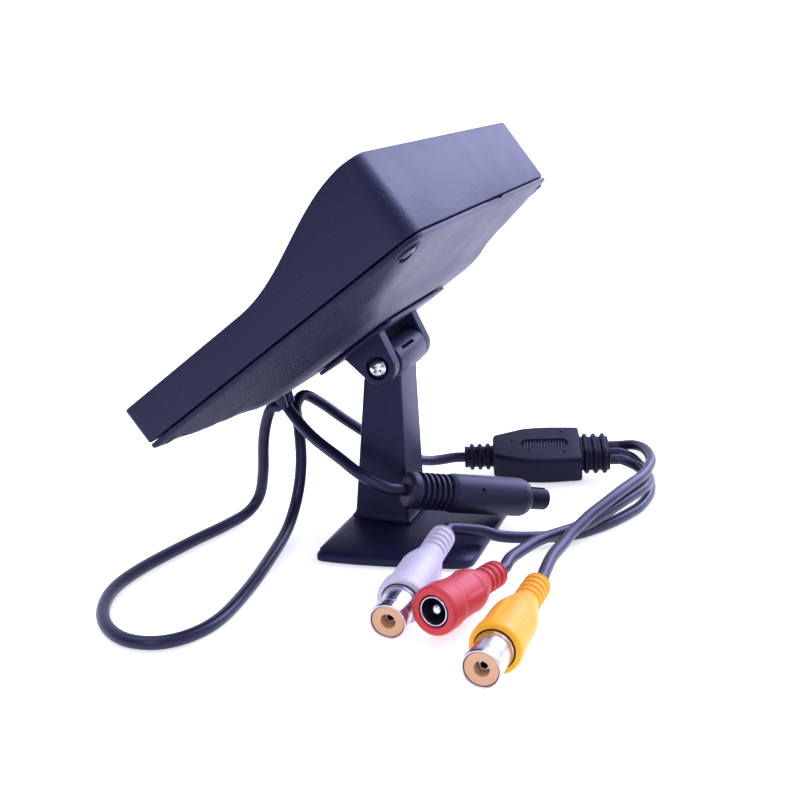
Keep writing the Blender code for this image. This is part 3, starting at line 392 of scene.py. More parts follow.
def tube(name, path, radius, sides=20):
    """Round tube along a path, with flat caps at both ends, built without twist."""
    bm = bmesh.new()
    points = [Vector(p) for p in path]
    tangents = [(points[min(i + 1, len(points) - 1)] - points[max(i - 1, 0)]).normalized()
                for i in range(len(points))]
    across = tangents[0].orthogonal().normalized()
    rings = []
    for point, tangent in zip(points, tangents):
        across = (across - tangent * across.dot(tangent)).normalized()
        side = tangent.cross(across)
        rings.append([point + across * (radius * math.cos(math.tau * i / sides))
                      + side * (radius * math.sin(math.tau * i / sides)) for i in range(sides)])
    loops = [[bm.verts.new(p) for p in ring] for ring in rings]
    for lower, upper in zip(loops, loops[1:]):
        for i in range(sides):
            j = (i + 1) % sides
            bm.faces.new((lower[i], lower[j], upper[j], upper[i]))
    bm.faces.new(list(reversed(loops[0])))
    bm.faces.new(loops[-1])
    return finish_mesh(bm, name, IDENTITY)


def aligned(start, end, upward=(0.0, 0.0, 1.0)):
    """Frame at start with local Z toward end and local X as near to upward as it can be."""
    start, end = Vector(start), Vector(end)
    axis = (end - start).normalized()
    x = Vector(upward) - axis * Vector(upward).dot(axis)
    x.normalize()
    y = axis.cross(x)
    turn = Matrix((x, y, axis)).transposed().to_4x4()
    return Matrix.Translation(start) @ turn


def smooth_step(value, low, high):
    t = min(1.0, max(0.0, (value - low) / (high - low)))
    return t * t * (3 - 2 * t)


# ---------------------------------------------------------------- pieces


def add_piece(name, mesh, look, body, replaces=(), angle=32.0):
    """Link a finished mesh, shade it, and tie it to its body, its CAD node and its finish."""
    obj = bpy.data.objects.new(name, mesh)
    SCENE.collection.objects.link(obj)
    mesh.materials.clear()
    mesh.materials.append(LOOKS[look])
    mesh.shade_smooth()
    mesh.set_sharp_from_angle(angle=math.radians(angle))
    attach(obj, body)
    if replaces:
        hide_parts(*replaces)
    return obj


def carve(name, mesh, tools):
    """The mesh after a list of (operation, tool mesh) Booleans."""
    target = bpy.data.objects.new(name + "_work", mesh)
    SCENE.collection.objects.link(target)
    helpers = []
    for operation, tool in tools:
        helper = bpy.data.objects.new("tool", tool)
        SCENE.collection.objects.link(helper)
        helpers.append(helper)
        modifier = target.modifiers.new("cut", "BOOLEAN")
        modifier.operation = operation
        modifier.object = helper
        modifier.solver = "EXACT"
    bpy.context.view_layer.update()
    result = bpy.data.meshes.new_from_object(target.evaluated_get(bpy.context.evaluated_depsgraph_get()))
    result.name = name
    for obj in helpers + [target]:
        bpy.data.objects.remove(obj, do_unlink=True)
    return result


# ---------------------------------------------------------------- leads

LEAD_RADIUS = 1.5


def read_curve(knots, spacing=1.2):
    """Evenly spaced points on a smooth curve through the knots, with straight ends."""
    knots = [Vector(point) for point in knots]
    dense = []
    for a, b, c, d in zip(knots, knots[1:], knots[2:], knots[3:]):
        for k in range(16):
            t = k / 16
            dense.append(0.5 * (2 * b + (c - a) * t + (2 * a - 5 * b + 4 * c - d) * t ** 2
                                + (3 * b - a - 3 * c + d) * t ** 3))
    dense.append(knots[-2])
    travelled = [0.0]
    for first, second in zip(dense, dense[1:]):
        travelled.append(travelled[-1] + (second - first).length)
    count = max(8, round(travelled[-1] / spacing))
    route = [knots[0]]
    k = 0
    for i in range(count):
        goal = travelled[-1] * i / (count - 1)
        while k < len(dense) - 2 and travelled[k + 1] < goal:
            k += 1
        share = (goal - travelled[k]) / (travelled[k + 1] - travelled[k])
        route.append(dense[k].lerp(dense[k + 1], share))
    return route + [knots[-1]]


def before(start, end, distance):
    return Vector(start) - (Vector(end) - Vector(start)).normalized() * distance


SHOULDER_Y, BACK_Y, CASE_BOTTOM, BACK_BOTTOM = -14.9, -10.7, -32.0, -20.0
GROMMET_X, GROMMET_Z = 7.0, -26.0


def slope_frame():
    """Centre of the lead exit on the rear cover's lower slope and the outward direction, in the head's frame."""
    rise, run = BACK_Y - SHOULDER_Y, BACK_BOTTOM - CASE_BOTTOM
    y = SHOULDER_Y + rise * (GROMMET_Z - CASE_BOTTOM) / run
    return Vector((GROMMET_X, y, GROMMET_Z)), Vector((0.0, run, -rise)).normalized()


def grommet_point(offset, out):
    centre, normal = slope_frame()
    return HEAD_MATRIX @ (centre + Vector((offset, 0.0, 0.0)) + normal * out)


PLUG_START, PLUG_END = (12.0, 8.0, 14.9), (-16.0, 37.9, 5.9)
SPLITTER_START, SPLITTER_END = Vector((-45.6, 16.1, 5.6)), Vector((-52.3, 40.7, 7.0))
SPLITTER_LENGTH = (SPLITTER_END - SPLITTER_START).length
SOCKETS = {
    "white": ((21.0, 20.8, 8.0), (63.2, 21.4, 5.7)),
    "yellow": ((33.6, 46.9, 4.9), (76.0, 45.0, 5.9)),
    "red": ((33.1, 37.1, 6.0), (61.2, 30.7, 8.7)),
}
HARNESS_ROUTE = [
    (9.6, -29.2, 32.0), (9.3, -31.2, 27.0), (8.6, -32.4, 21.0), (7.6, -33.2, 13.5), (7.4, -34.6, 6.5),
    (10.5, -36.6, 2.6), (18.0, -39.0, 1.6), (32.0, -42.6, 1.6), (49.0, -46.0, 1.6), (60.5, -46.2, 1.6),
    (70.0, -43.0, 1.6), (77.0, -37.6, 1.6), (80.8, -30.6, 1.6), (79.8, -23.6, 1.6), (74.5, -18.6, 1.6),
    (65.5, -16.2, 1.6), (50.0, -17.0, 1.6), (33.5, -19.4, 1.6), (19.5, -21.6, 2.4), (11.5, -22.6, 6.0),
    (7.8, -22.6, 12.0), (5.6, -23.0, 18.5), (3.0, -24.6, 25.0), (0.0, -26.6, 30.0), (-4.0, -26.0, 32.0),
    (-8.0, -22.8, 29.0), (-12.5, -17.6, 23.4), (-17.5, -12.6, 18.0), (-24.0, -8.6, 12.4), (-31.0, -4.6, 7.6),
    (-37.5, -0.6, 5.0),
]
CAMERA_ROUTE = [
    (5.2, -27.4, 32.4), (6.6, -23.6, 28.6), (9.6, -17.4, 25.0), (12.8, -9.4, 21.8), (15.6, -2.0, 18.8),
]
PIGTAIL_ROUTES = {
    "yellow": [
        (-57.5, 55.5, 9.6), (-52.5, 59.5, 10.2), (-44.0, 62.0, 10.3), (-36.0, 62.0, 10.2), (-29.5, 61.0, 10.1),
        (-23.5, 59.2, 10.0), (-16.0, 56.7, 9.5), (-10.0, 54.4, 8.7), (-4.0, 52.0, 7.8), (0.8, 50.5, 7.0),
        (5.8, 49.0, 6.3), (11.5, 48.0, 5.6), (18.0, 47.0, 5.2), (24.5, 46.9, 4.9),
    ],
    "white": [
        (-55.0, 56.0, 6.2), (-52.0, 60.0, 3.6), (-47.0, 62.0, 1.9), (-39.0, 62.6, 1.6), (-30.0, 61.5, 1.7),
        (-23.7, 59.5, 1.8), (-17.7, 56.9, 1.8), (-13.0, 54.2, 1.7), (-9.0, 51.4, 1.6), (-6.2, 49.2, 1.6),
        (-2.8, 46.1, 1.8), (0.0, 42.9, 2.2), (2.5, 39.8, 2.7), (4.7, 36.9, 3.1), (6.7, 34.0, 3.6),
        (8.6, 31.0, 4.4), (11.0, 27.0, 6.2),
    ],
    "red": [
        (-51.0, 56.5, 5.9), (-48.0, 59.5, 5.3), (-42.2, 62.2, 5.3), (-32.5, 62.0, 6.3), (-23.5, 59.3, 6.4),
        (-17.2, 56.8, 6.0), (-11.5, 54.2, 5.4), (-6.3, 51.7, 4.9), (-2.1, 49.1, 4.8), (2.0, 46.5, 4.9),
        (6.0, 43.9, 5.0), (10.5, 41.6, 5.2), (16.5, 39.6, 5.3), (23.4, 38.1, 5.6),
    ],
}
PIGTAIL_NODES = {"yellow": "video_lead_yellow", "white": "video_lead_white", "red": "power_lead_red"}
PIGTAIL_PLACES = {"yellow": 1, "white": 0, "red": -1}


def splitter_matrix():
    """Local X runs along the box, local Z is the outward normal of its broad face."""
    axis = (SPLITTER_END - SPLITTER_START).normalized()
    side = axis.cross(Vector((0.0, 0.0, 1.0))).normalized()
    up = side.cross(axis)
    roll = math.radians(15.0)
    near = side * math.cos(roll) - up * math.sin(roll)
    normal = near.cross(axis)
    return Matrix.Translation(SPLITTER_START) @ Matrix((axis, -near, normal)).transposed().to_4x4()


SPLIT = splitter_matrix()


def make_lead(name, knots, node, sides=20):
    route = read_curve(knots)
    lead = add_piece(name, tube(name, route, LEAD_RADIUS, sides), "cable_black", "stand", [node], 60.0)
    return lead, route


SNOUT = 3.2
GAP = 0.3
HARNESS, HARNESS_LINE = make_lead(
    "harness_lead_sheath",
    [grommet_point(2.3, SNOUT + GAP), grommet_point(2.3, SNOUT + 3.0)] + HARNESS_ROUTE
    + [SPLIT @ Vector((-7.6 - 3.5, 0.0, 0.0)), SPLIT @ Vector((-7.6 - GAP, 0.0, 0.0))], "harness_lead")
CAMERA_LEAD, CAMERA_LINE = make_lead(
    "camera_lead_sheath",
    [grommet_point(-2.3, SNOUT + GAP), grommet_point(-2.3, SNOUT + 2.5)] + CAMERA_ROUTE
    + [before(PLUG_START, PLUG_END, 4.0), before(PLUG_START, PLUG_END, GAP)], "camera_lead")
for colour, place in PIGTAIL_PLACES.items():
    across = place * 3.5
    start, end = SOCKETS[colour]
    knots = [SPLIT @ Vector((SPLITTER_LENGTH + 8.2 + GAP, across, 0.0)),
             SPLIT @ Vector((SPLITTER_LENGTH + 8.2 + 3.0, across, 0.0))]
    knots += PIGTAIL_ROUTES[colour] + [before(start, end, 4.0), before(start, end, GAP)]
    make_lead(PIGTAIL_NODES[colour] + "_sheath", knots, PIGTAIL_NODES[colour])

# ---------------------------------------------------------------- monitor head

HALF_WIDTH, CASE_TOP, CORNER, LOWER_CORNER = 60.0, 46.4, 5.0, 1.3
AXIS_Y, AXIS_Z = -0.08, 2.38
CROWN = ((45.5, -15.5, 22.5, -8.8), (40.0, -11.0, 18.0, -7.8))
SEAM_Y, FRONT_Y, HOOD_Y = -16.0, -25.3, -35.0
FRAME_Y, FRAME_BACK_Y, RIM, WALL = -24.9, -23.1, 2.6, 2.0
WINDOW_Z, WINDOW_HALF = 10.0, (49.0, 28.5)
BUTTONS = {"button_power": -30.0, "button_menu": -6.0, "button_minus": 6.0, "button_plus": 18.0}
BUTTON_Z = -26.6
CASE_SCREWS = [(-55.3, 41.3), (55.3, 41.3), (-55.3, -27.2), (55.3, -27.2)]
BRACKET_SCREWS = [(-19.0, 11.2), (19.0, 11.2), (-19.0, -3.6), (19.0, -3.6)]
CUP_FLOOR_Y, CUP_DEPTH_Y, CUP_RADIUS = -10.0, -10.4, 2.9


def hood_edge(z):
    """Front edge of the side wall at a height: straight, then one soft S up to the hood."""
    share = min(1.0, max(0.0, (z - 5.0) / 38.0))
    return FRONT_Y + (HOOD_Y - FRONT_Y) * (1 - math.cos(math.pi * share)) / 2


def case_ring(inset, y=None, lift=0.0, radius=None):
    """Housing outline moved in by inset, at depth y or following the hood's edge."""
    if radius is None:
        radius = max(0.8, CORNER - inset)
    low_radius = max(0.5, LOWER_CORNER - inset * 0.5)
    outline = rounded_box_outline(HALF_WIDTH - inset, CASE_BOTTOM + inset, CASE_TOP - inset, radius, 36, 10,
                                  low_radius)
    return [(x, hood_edge(z) + lift if y is None else y, z) for x, z in outline]


def window_ring(inset, y):
    low, high = WINDOW_Z - WINDOW_HALF[1] + inset, WINDOW_Z + WINDOW_HALF[1] - inset
    return at_y(rounded_box_outline(WINDOW_HALF[0] - inset, low, high, max(0.6, 1.2 - inset), 36, 10), y)


def cylinder(radius, x, z, y_start, y_end, sides=40, end_radius=None):
    end_radius = radius if end_radius is None else end_radius
    rings = []
    for reach, y in ((radius, y_start), (end_radius, y_end)):
        rings.append([(x + reach * math.cos(math.tau * i / sides), y, z + reach * math.sin(math.tau * i / sides))
                      for i in range(sides)])
    return loft("cylinder", rings, HEAD_MATRIX)


def box_tool(low, high, matrix=HEAD_MATRIX):
    outline = [(low[0], low[2]), (high[0], low[2]), (high[0], high[2]), (low[0], high[2])]
    return loft("box", [at_y(outline, low[1]), at_y(outline, high[1])], matrix)


def make_front():
    back = SEAM_Y - GAP
    rings = [case_ring(0.35, back), case_ring(0.12, back - 0.12), case_ring(0.0, back - 0.35)]
    rings += [case_ring(0.0, None, 0.42), case_ring(0.06, None, 0.2), case_ring(0.2, None, 0.06),
              case_ring(0.45, None), case_ring(RIM - 0.35, None), case_ring(RIM - 0.1, None, 0.1)]
    rings += [case_ring(RIM, None, 0.3), case_ring(RIM, FRAME_Y - 0.02), case_ring(RIM + 0.15, FRAME_Y)]
    rings += [window_ring(-0.8, FRAME_Y), window_ring(-0.25, FRAME_Y + 0.12), window_ring(0.0, FRAME_Y + 0.5),
              window_ring(0.0, FRAME_BACK_Y), case_ring(WALL, FRAME_BACK_Y), case_ring(WALL, back)]
    mesh = loft("front_bezel_shell", rings, HEAD_MATRIX, closed=True)
    tools = []
    for x in BUTTONS.values():
        hole = rounded_box_outline(3.55, -1.95, 1.95, 1.3, 1, 6)
        hole = [(x + u, BUTTON_Z + w) for u, w in hole]
        tools.append(("DIFFERENCE", loft("hole", [at_y(hole, -30.0), at_y(hole, -20.0)], HEAD_MATRIX)))
    tools.append(("DIFFERENCE", cylinder(0.8, -20.0, BUTTON_Z, -30.0, -20.0, 24)))
    mesh = carve("front_bezel_shell", mesh, tools)
    add_piece("front_bezel_shell", mesh, "case_black", "head", ["front_bezel"], 30.0)


def back_ring(share, y, inset=0.0):
    half = HALF_WIDTH + (50.0 - HALF_WIDTH) * share - inset
    low = CASE_BOTTOM + (BACK_BOTTOM - CASE_BOTTOM) * share + inset
    high = CASE_TOP + (27.0 - CASE_TOP) * share - inset
    low_radius = max(0.5, LOWER_CORNER + 2.0 * share - inset)
    return at_y(rounded_box_outline(half, low, high, CORNER - inset, 6, 12, low_radius), y)


def crown_ring(half, low, high, y):
    return at_y(rounded_box_outline(half, low, high, CORNER, 6, 12), y)


def make_rear():
    stages = [(0.0, SEAM_Y + 0.3, 0.0), (0.0, SHOULDER_Y - 0.35, 0.0), (0.004, SHOULDER_Y - 0.12, 0.0),
              (0.025, SHOULDER_Y + 0.1, 0.0), (0.06, SHOULDER_Y + 0.28, 0.0)]
    slope = [(share, SHOULDER_Y + 0.28 + (share - 0.06) * 4.25, 0.0) for share in (0.2, 0.4, 0.6, 0.78)]
    ridge = [(0.90, BACK_Y - 0.52, 0.0), (0.95, BACK_Y - 0.27, 0.0), (1.0, BACK_Y - 0.02, 0.0)]
    crown = [crown_ring(48.2, -18.3, 25.2, BACK_Y + 0.55), crown_ring(47.0, -17.0, 24.0, BACK_Y + 1.1),
             crown_ring(*CROWN[0]), crown_ring(44.0, -14.4, 21.3, -8.42), crown_ring(42.5, -13.1, 20.0, -8.08),
             crown_ring(41.0, -11.9, 18.9, -7.88), crown_ring(*CROWN[1]), crown_ring(36.0, -7.5, 14.0, -7.8)]
    rings = [crown_ring(39.0, -10.0, 17.0, -10.2), back_ring(0.9, BACK_Y - 2.1, 1.4),
             back_ring(0.05, SHOULDER_Y - 1.2, WALL),
             back_ring(0.0, SEAM_Y, WALL), back_ring(0.0, SEAM_Y, 0.35), back_ring(0.0, SEAM_Y + 0.1, 0.1)]
    rings += [back_ring(*stage) for stage in stages + slope + ridge] + crown
    mesh = loft("rear_cover_shell", rings, HEAD_MATRIX)
    tools = []
    for x, z in CASE_SCREWS:
        tools.append(("UNION", cylinder(3.3, x, z, SEAM_Y + 0.05, SEAM_Y + 1.9)))
        tools.append(("DIFFERENCE", cylinder(2.6, x, z, -15.2, 0.0)))
        tools.append(("DIFFERENCE", cylinder(1.25, x, z, -18.0, -10.0, 24)))
    for x, z in BRACKET_SCREWS:
        tools.append(("UNION", cylinder(4.4, x, z, -14.9, -8.3)))
        tools.append(("DIFFERENCE", cylinder(CUP_RADIUS + GAP, x, z, CUP_DEPTH_Y - GAP, 0.0)))
        tools.append(("DIFFERENCE", cylinder(1.3, x, z, -20.0, 0.0, 24)))
    centre, normal = slope_frame()
    tools.append(("DIFFERENCE", loft("slot", [stadium(centre, normal, 5.6, 2.7, out) for out in (-8.0, 8.0)],
                                     HEAD_MATRIX)))
    tools.append(("DIFFERENCE", box_tool((-8.0, -17.0, 45.4), (6.0, SEAM_Y + 0.5, 48.0))))
    mesh = carve("rear_cover_shell", mesh, tools)
    add_piece("rear_cover_shell", mesh, "case_black", "head", ["rear_cover"], 28.0)


def stadium(centre, normal, half_length, half_height, out, corner=8):
    across = Vector((1.0, 0.0, 0.0))
    upward = normal.cross(across)
    outline = rounded_box_outline(half_length, -half_height, half_height, half_height * 0.98, 1, corner)
    return [tuple(centre + across * u + upward * w + normal * out) for u, w in outline]


def make_grommet():
    centre, normal = slope_frame()
    stages = [(5.3, 2.4, -3.2), (5.3, 2.4, 0.25), (6.0, 3.0, 0.3), (6.2, 3.2, 0.5), (6.2, 3.2, 1.0), (6.0, 3.0, 1.2),
              (5.3, 2.5, 1.25), (5.2, 2.4, 1.4), (5.2, 2.4, 1.8), (4.9, 2.1, 1.95), (4.9, 2.1, 2.35),
              (5.1, 2.3, 2.5), (5.1, 2.3, 3.0), (4.9, 2.1, 3.2)]
    rings = [stadium(centre, normal, *stage) for stage in stages]
    mesh = loft("lead_grommet_skin", rings, HEAD_MATRIX)
    add_piece("lead_grommet_skin", mesh, "rubber_black", "head", ["lead_grommet"])


def make_buttons():
    for name, x in BUTTONS.items():
        rings = []
        for inset, y in ((0.0, -21.6), (0.0, -25.2), (0.08, -25.42), (0.28, -25.6), (0.6, -25.68), (1.3, -25.66)):
            outline = rounded_box_outline(3.2 - inset, inset - 1.6, 1.6 - inset, max(0.2, 0.95 - inset), 1, 6)
            rings.append([(x + u, y, BUTTON_Z + w) for u, w in outline])
        mesh = loft(name + "_cap", rings, HEAD_MATRIX)
        add_piece(name + "_cap", mesh, "rubber_black", name, [name])


def ear_outline(steps=28):
    """Side view of one ear in Y and Z: a wide root and a round tip about the tilt axis."""
    root_y, low, high, radius = -6.9 - AXIS_Y, -3.5 - AXIS_Z, 8.2 - AXIS_Z, 4.4
    start = math.atan2(low, root_y) % math.tau + math.acos(radius / math.hypot(low, root_y)) - math.tau
    end = math.atan2(high, root_y) - math.acos(radius / math.hypot(high, root_y))
    arc = []
    for i in range(steps + 1):
        angle = start + (end - start) * i / steps
        arc.append((radius * math.cos(angle), radius * math.sin(angle)))
    outline = [(root_y, low)] + arc + [(root_y, high)]
    return [(y + AXIS_Y, z + AXIS_Z) for y, z in outline]


def x_cylinder(radius, start, end, sides=48):
    """Cylinder about the tilt axis, in the head's frame."""
    rings = [[(x, AXIS_Y + radius * math.cos(math.tau * i / sides), AXIS_Z + radius * math.sin(math.tau * i / sides))
              for i in range(sides)] for x in (start, end)]
    return loft("x_cylinder", rings, HEAD_MATRIX)


def make_bracket():
    outline = rounded_box_outline(23.5, -8.0, 15.6, 3.5, 1, 8)
    mesh = soft_prism("hinge_bracket_shell", outline, -7.5, -6.6, at_y, 0.3, 3, HEAD_MATRIX)
    tools = []
    for side in (-1, 1):
        ear = soft_prism("ear", ear_outline(), side * 10.4, side * 14.7, at_x, 0.55, 3, HEAD_MATRIX)
        tools.append(("UNION", ear))
    for x, z in BRACKET_SCREWS:
        tools.append(("UNION", cylinder(CUP_RADIUS, x, z, CUP_DEPTH_Y, -6.9)))
        tools.append(("DIFFERENCE", cylinder(2.15, x, z, CUP_FLOOR_Y, 0.0, 32, 2.5)))
        tools.append(("DIFFERENCE", cylinder(1.3, x, z, -20.0, 0.0, 24)))
    tools.append(("DIFFERENCE", x_cylinder(1.8, -20.0, 20.0)))
    tools.append(("DIFFERENCE", x_cylinder(3.0, 13.2, 20.0)))
    tools.append(("DIFFERENCE", x_cylinder(3.5, -12.3, -20.0, 6)))
    mesh = carve("hinge_bracket_shell", mesh, tools)
    add_piece("hinge_bracket_shell", mesh, "stand_black", "head", ["hinge_bracket"], 30.0)


def cross_tools(matrix, reach, half, floor, top):
    """Two crossed wedges that make a cross recess, narrowing with depth."""
    tools = []
    for a, b in ((reach, half), (half, reach)):
        rings = []
        for share, height in ((0.45, floor), (1.0, top)):
            u, w = (a * share, b) if a > b else (a, b * share)
            rings.append(at_z([(-u, -w), (u, -w), (u, w), (-u, w)], height))
        tools.append(("DIFFERENCE", loft("cross", rings, matrix)))
    return tools


def make_screw(name, node, matrix, head, height, shaft, length, look, reach):
    """Pan-head screw along local Z, its head's underside at the origin."""
    profile = [(0.0, height), (head * 0.4, height * 0.98), (head * 0.72, height * 0.84), (head * 0.93, height * 0.6),
               (head, height * 0.35), (head, 0.06), (head - 0.06, 0.0), (shaft, 0.0), (shaft, 0.6 - length),
               (0.4, -length), (0.0, -length)]
    mesh = turned(name, profile, matrix, 40)
    width = 0.28 if head < 2.2 else 0.42
    mesh = carve(name, mesh, cross_tools(matrix, reach, width, height * 0.3, height * 1.3))
    add_piece(name, mesh, look, "head", [node], 30.0)


def make_screws():
    toward_back = Matrix.Rotation(-math.pi / 2, 4, "X")
    for i, (x, z) in enumerate(CASE_SCREWS):
        matrix = HEAD_MATRIX @ Matrix.Translation((x, -14.9, z)) @ toward_back @ Matrix.Rotation(0.5 * i, 4, "Z")
        make_screw(f"case_screw_{i + 1}_fine", f"case_screw_{i + 1}", matrix, 2.0, 1.2, 0.95, 7.0,
                   "black_steel", 1.2)
    for i, (x, z) in enumerate(BRACKET_SCREWS):
        matrix = HEAD_MATRIX @ Matrix.Translation((x, -9.9, z)) @ toward_back @ Matrix.Rotation(0.6 * i + 0.3, 4, "Z")
        make_screw(f"bracket_screw_{i + 1}_fine", f"bracket_screw_{i + 1}", matrix, 1.8, 1.1, 0.95, 4.6,
                   "black_steel", 1.1)
    matrix = HEAD_MATRIX @ Matrix.Translation((13.5, AXIS_Y, AXIS_Z)) @ Matrix.Rotation(math.pi / 2, 4, "Y")
    matrix = matrix @ Matrix.Rotation(0.5, 4, "Z")
    make_screw("pivot_screw_fine", "pivot_screw", matrix, 2.35, 1.9, 1.5, 27.4, "nickel", 1.65)


make_front()
make_rear()
make_grommet()
make_buttons()
make_bracket()
make_screws()

# ---------------------------------------------------------------- stand


def make_post():
    def ring(half, z, radius=1.0):
        return at_z(rounded_box_outline(half[0], -half[1], half[1], radius, 1, 6), z)

    rings = [ring((7.8, 7.6), 3.9), ring((8.05, 7.85), 4.0), ring((8.1, 7.9), 4.2), ring((8.1, 7.9), 4.45),
             ring((7.95, 7.75), 4.65), ring((7.55, 7.35), 5.2), ring((7.4, 7.2), 6.0), ring((6.7, 5.0), 41.0)]
    rings.append([(x, -1.0 + (y + 5.0) * 0.6, 44.5) for x, y, z in ring((6.7, 5.0), 44.5)])
    mesh = loft("stand_post_shell", rings)
    axis = HEAD_MATRIX @ Vector((0.0, AXIS_Y, AXIS_Z))

    def barrel(radius, reach, edge):
        outline = [(axis.y + radius * math.cos(math.tau * i / 64), axis.z + radius * math.sin(math.tau * i / 64))
                   for i in range(64)]
        return soft_prism("barrel", outline, -reach, reach, at_x, edge)

    tools = [("UNION", barrel(4.7, 10.0, 0.4)), ("DIFFERENCE", barrel(1.8, 20.0, 0.05))]
    for low, high in (((-3.0, 2.2, 3.0), (6.0, 4.2, 3.6)), ((-10.3, 3.35, -3.75), (10.3, 5.5, -3.35))):
        outline = [(low[0], low[1]), (high[0], low[1]), (high[0], high[1]), (low[0], high[1])]
        outline = [(x, axis.y + y) for x, y in outline]
        tools.append(("DIFFERENCE", loft("slit", [at_z(outline, axis.z + z) for z in (low[2], high[2])])))
    mesh = carve("stand_post_shell", mesh, tools)
    add_piece("stand_post_shell", mesh, "stand_black", "stand", ["stand_post"], 30.0)


def base_outline(distance, share=1.0):
    """Footprint of the base moved in by a distance, or shrunk toward a line near its front."""
    half = [(29.2, -9.6), (28.9, -5.0), (28.3, 0.6), (27.1, 7.3),
            (25.8, 13.2), (24.3, 19.0), (22.9, 24.0), (21.6, 28.2)]
    corners = half + [(-x, y) for x, y in reversed(half)]
    radii = {0: 3.0, 7: 5.0, 8: 5.0, 15: 3.0}
    points = []
    count = len(corners)
    for i, corner in enumerate(corners):
        here = Vector(corner)
        if i not in radii:
            points.append(tuple(here))
            continue
        back = (Vector(corners[i - 1]) - here).normalized()
        ahead = (Vector(corners[(i + 1) % count]) - here).normalized()
        reach = radii[i] * 0.75
        for k in range(9):
            t = k / 8
            first, last = here + back * reach, here + ahead * reach
            points.append(tuple(first * (1 - t) ** 2 + here * (2 * t * (1 - t)) + last * t ** 2))
    if share < 1.0:
        return [(x * share, (y + 3.0) * share - 3.0) for x, y in points]
    return grown(points, -distance) if distance else points


def make_base():
    stages = [(0.9, 0.3), (0.35, 0.32), (0.1, 0.45), (0.0, 0.75), (0.0, 1.5), (0.06, 1.85), (0.25, 2.15), (0.6, 2.4)]
    rings = [at_z(base_outline(distance), z) for distance, z in stages]
    slopes = [(0.955, 2.72), (0.92, 2.95), (0.87, 3.15), (0.8, 3.35), (0.72, 3.5), (0.6, 3.58), (0.4, 3.6)]
    rings += [at_z(base_outline(0.0, share), z) for share, z in slopes]
    mesh = loft("stand_base_shell", rings)
    add_piece("stand_base_shell", mesh, "stand_black", "stand", ["stand_base"], 40.0)


make_post()
make_base()

# ---------------------------------------------------------------- camera plug


def rib_profile(first, count, pitch, outer, inner):
    """Ring ribs with round tops and round valleys, as (radius, distance) pairs."""
    points = []
    for i in range(count):
        for k in range(12):
            phase = k / 12
            wave = min(1.0, max(0.0, 0.5 + 0.95 * math.sin(math.tau * (phase - 0.25))))
            points.append((inner + (outer - inner) * wave, first + (i + phase) * pitch))
    return points


def flipped(profile):
    return list(reversed(profile))


MOULD_MARK = 22.0


def make_plug():
    matrix = aligned(PLUG_START, PLUG_END)
    body = soft_profile([(0.0, 0.0), (3.3, 0.0), (4.3, 0.25), (4.7, 1.0), (4.7, 2.9), (3.95, 3.2)], 0.3)
    body += rib_profile(3.6, 5, 1.55, 4.75, 3.9)
    body += soft_profile([(3.9, 11.5), (4.7, 11.9), (4.85, 12.5), (5.05, 13.3), (5.05, 33.4), (4.6, 34.9),
                          (4.0, 35.7), (3.4, 36.0), (3.3, 35.8), (3.3, 32.7), (0.0, 32.7)], 0.35)

    def dish(_radius, height, _angle):
        return 0.12 if 17.5 < height < 18.7 else 0.0

    mesh = turned("plug_body_skin", flipped(body), matrix, 72, dish)
    mark = Vector(PLUG_START) + (Vector(PLUG_END) - Vector(PLUG_START)).normalized() * MOULD_MARK
    dimple = aligned(mark, mark + Vector((0.75, 0.35, 0.55)))
    pit = loft("pit", [[(0.55 * math.cos(math.tau * i / 20), 0.55 * math.sin(math.tau * i / 20), z)
                        for i in range(20)] for z in (4.4, 8.0)], dimple)
    mesh = carve("plug_body_skin", mesh, [("DIFFERENCE", pit)])
    body_piece = add_piece("plug_body_skin", mesh, "plug_black", "stand", ["plug_body"], 35.0)
    length = (Vector(PLUG_END) - Vector(PLUG_START)).length
    nose = soft_profile([(0.0, 33.0), (2.95, 33.0), (2.95, length - 0.5), (2.6, length), (0.0, length)], 0.25)
    mesh = turned("plug_nose_skin", flipped(nose), matrix, 56)
    tools = [("DIFFERENCE", loft("key", [at_z([(2.2, -0.7), (4.0, -0.7), (4.0, 0.7), (2.2, 0.7)], z)
                                         for z in (36.5, 60.0)], matrix))]
    for i in range(4):
        angle = math.radians(45 + 90 * i)
        x, y = 1.35 * math.cos(angle), 1.35 * math.sin(angle)
        tools.append(("DIFFERENCE", loft("bore", [[(x + 0.7 * math.cos(math.tau * k / 16),
                                                    y + 0.7 * math.sin(math.tau * k / 16), z) for k in range(16)]
                                                  for z in (length - 4.0, 60.0)], matrix)))
    mesh = carve("plug_nose_skin", mesh, tools)
    nose_piece = add_piece("plug_nose_skin", mesh, "rubber_black", "stand", ["plug_nose"], 35.0)
    return [body_piece, nose_piece] + [f"plug_contact_{i}" for i in range(1, 5)]


PLUG_PIECES = make_plug()

# ---------------------------------------------------------------- splitter box


# The moulding is a little fuller in section than the CAD solid that it covers.
FULLER_WIDTH, FULLER_HEIGHT = 1.07, 1.11


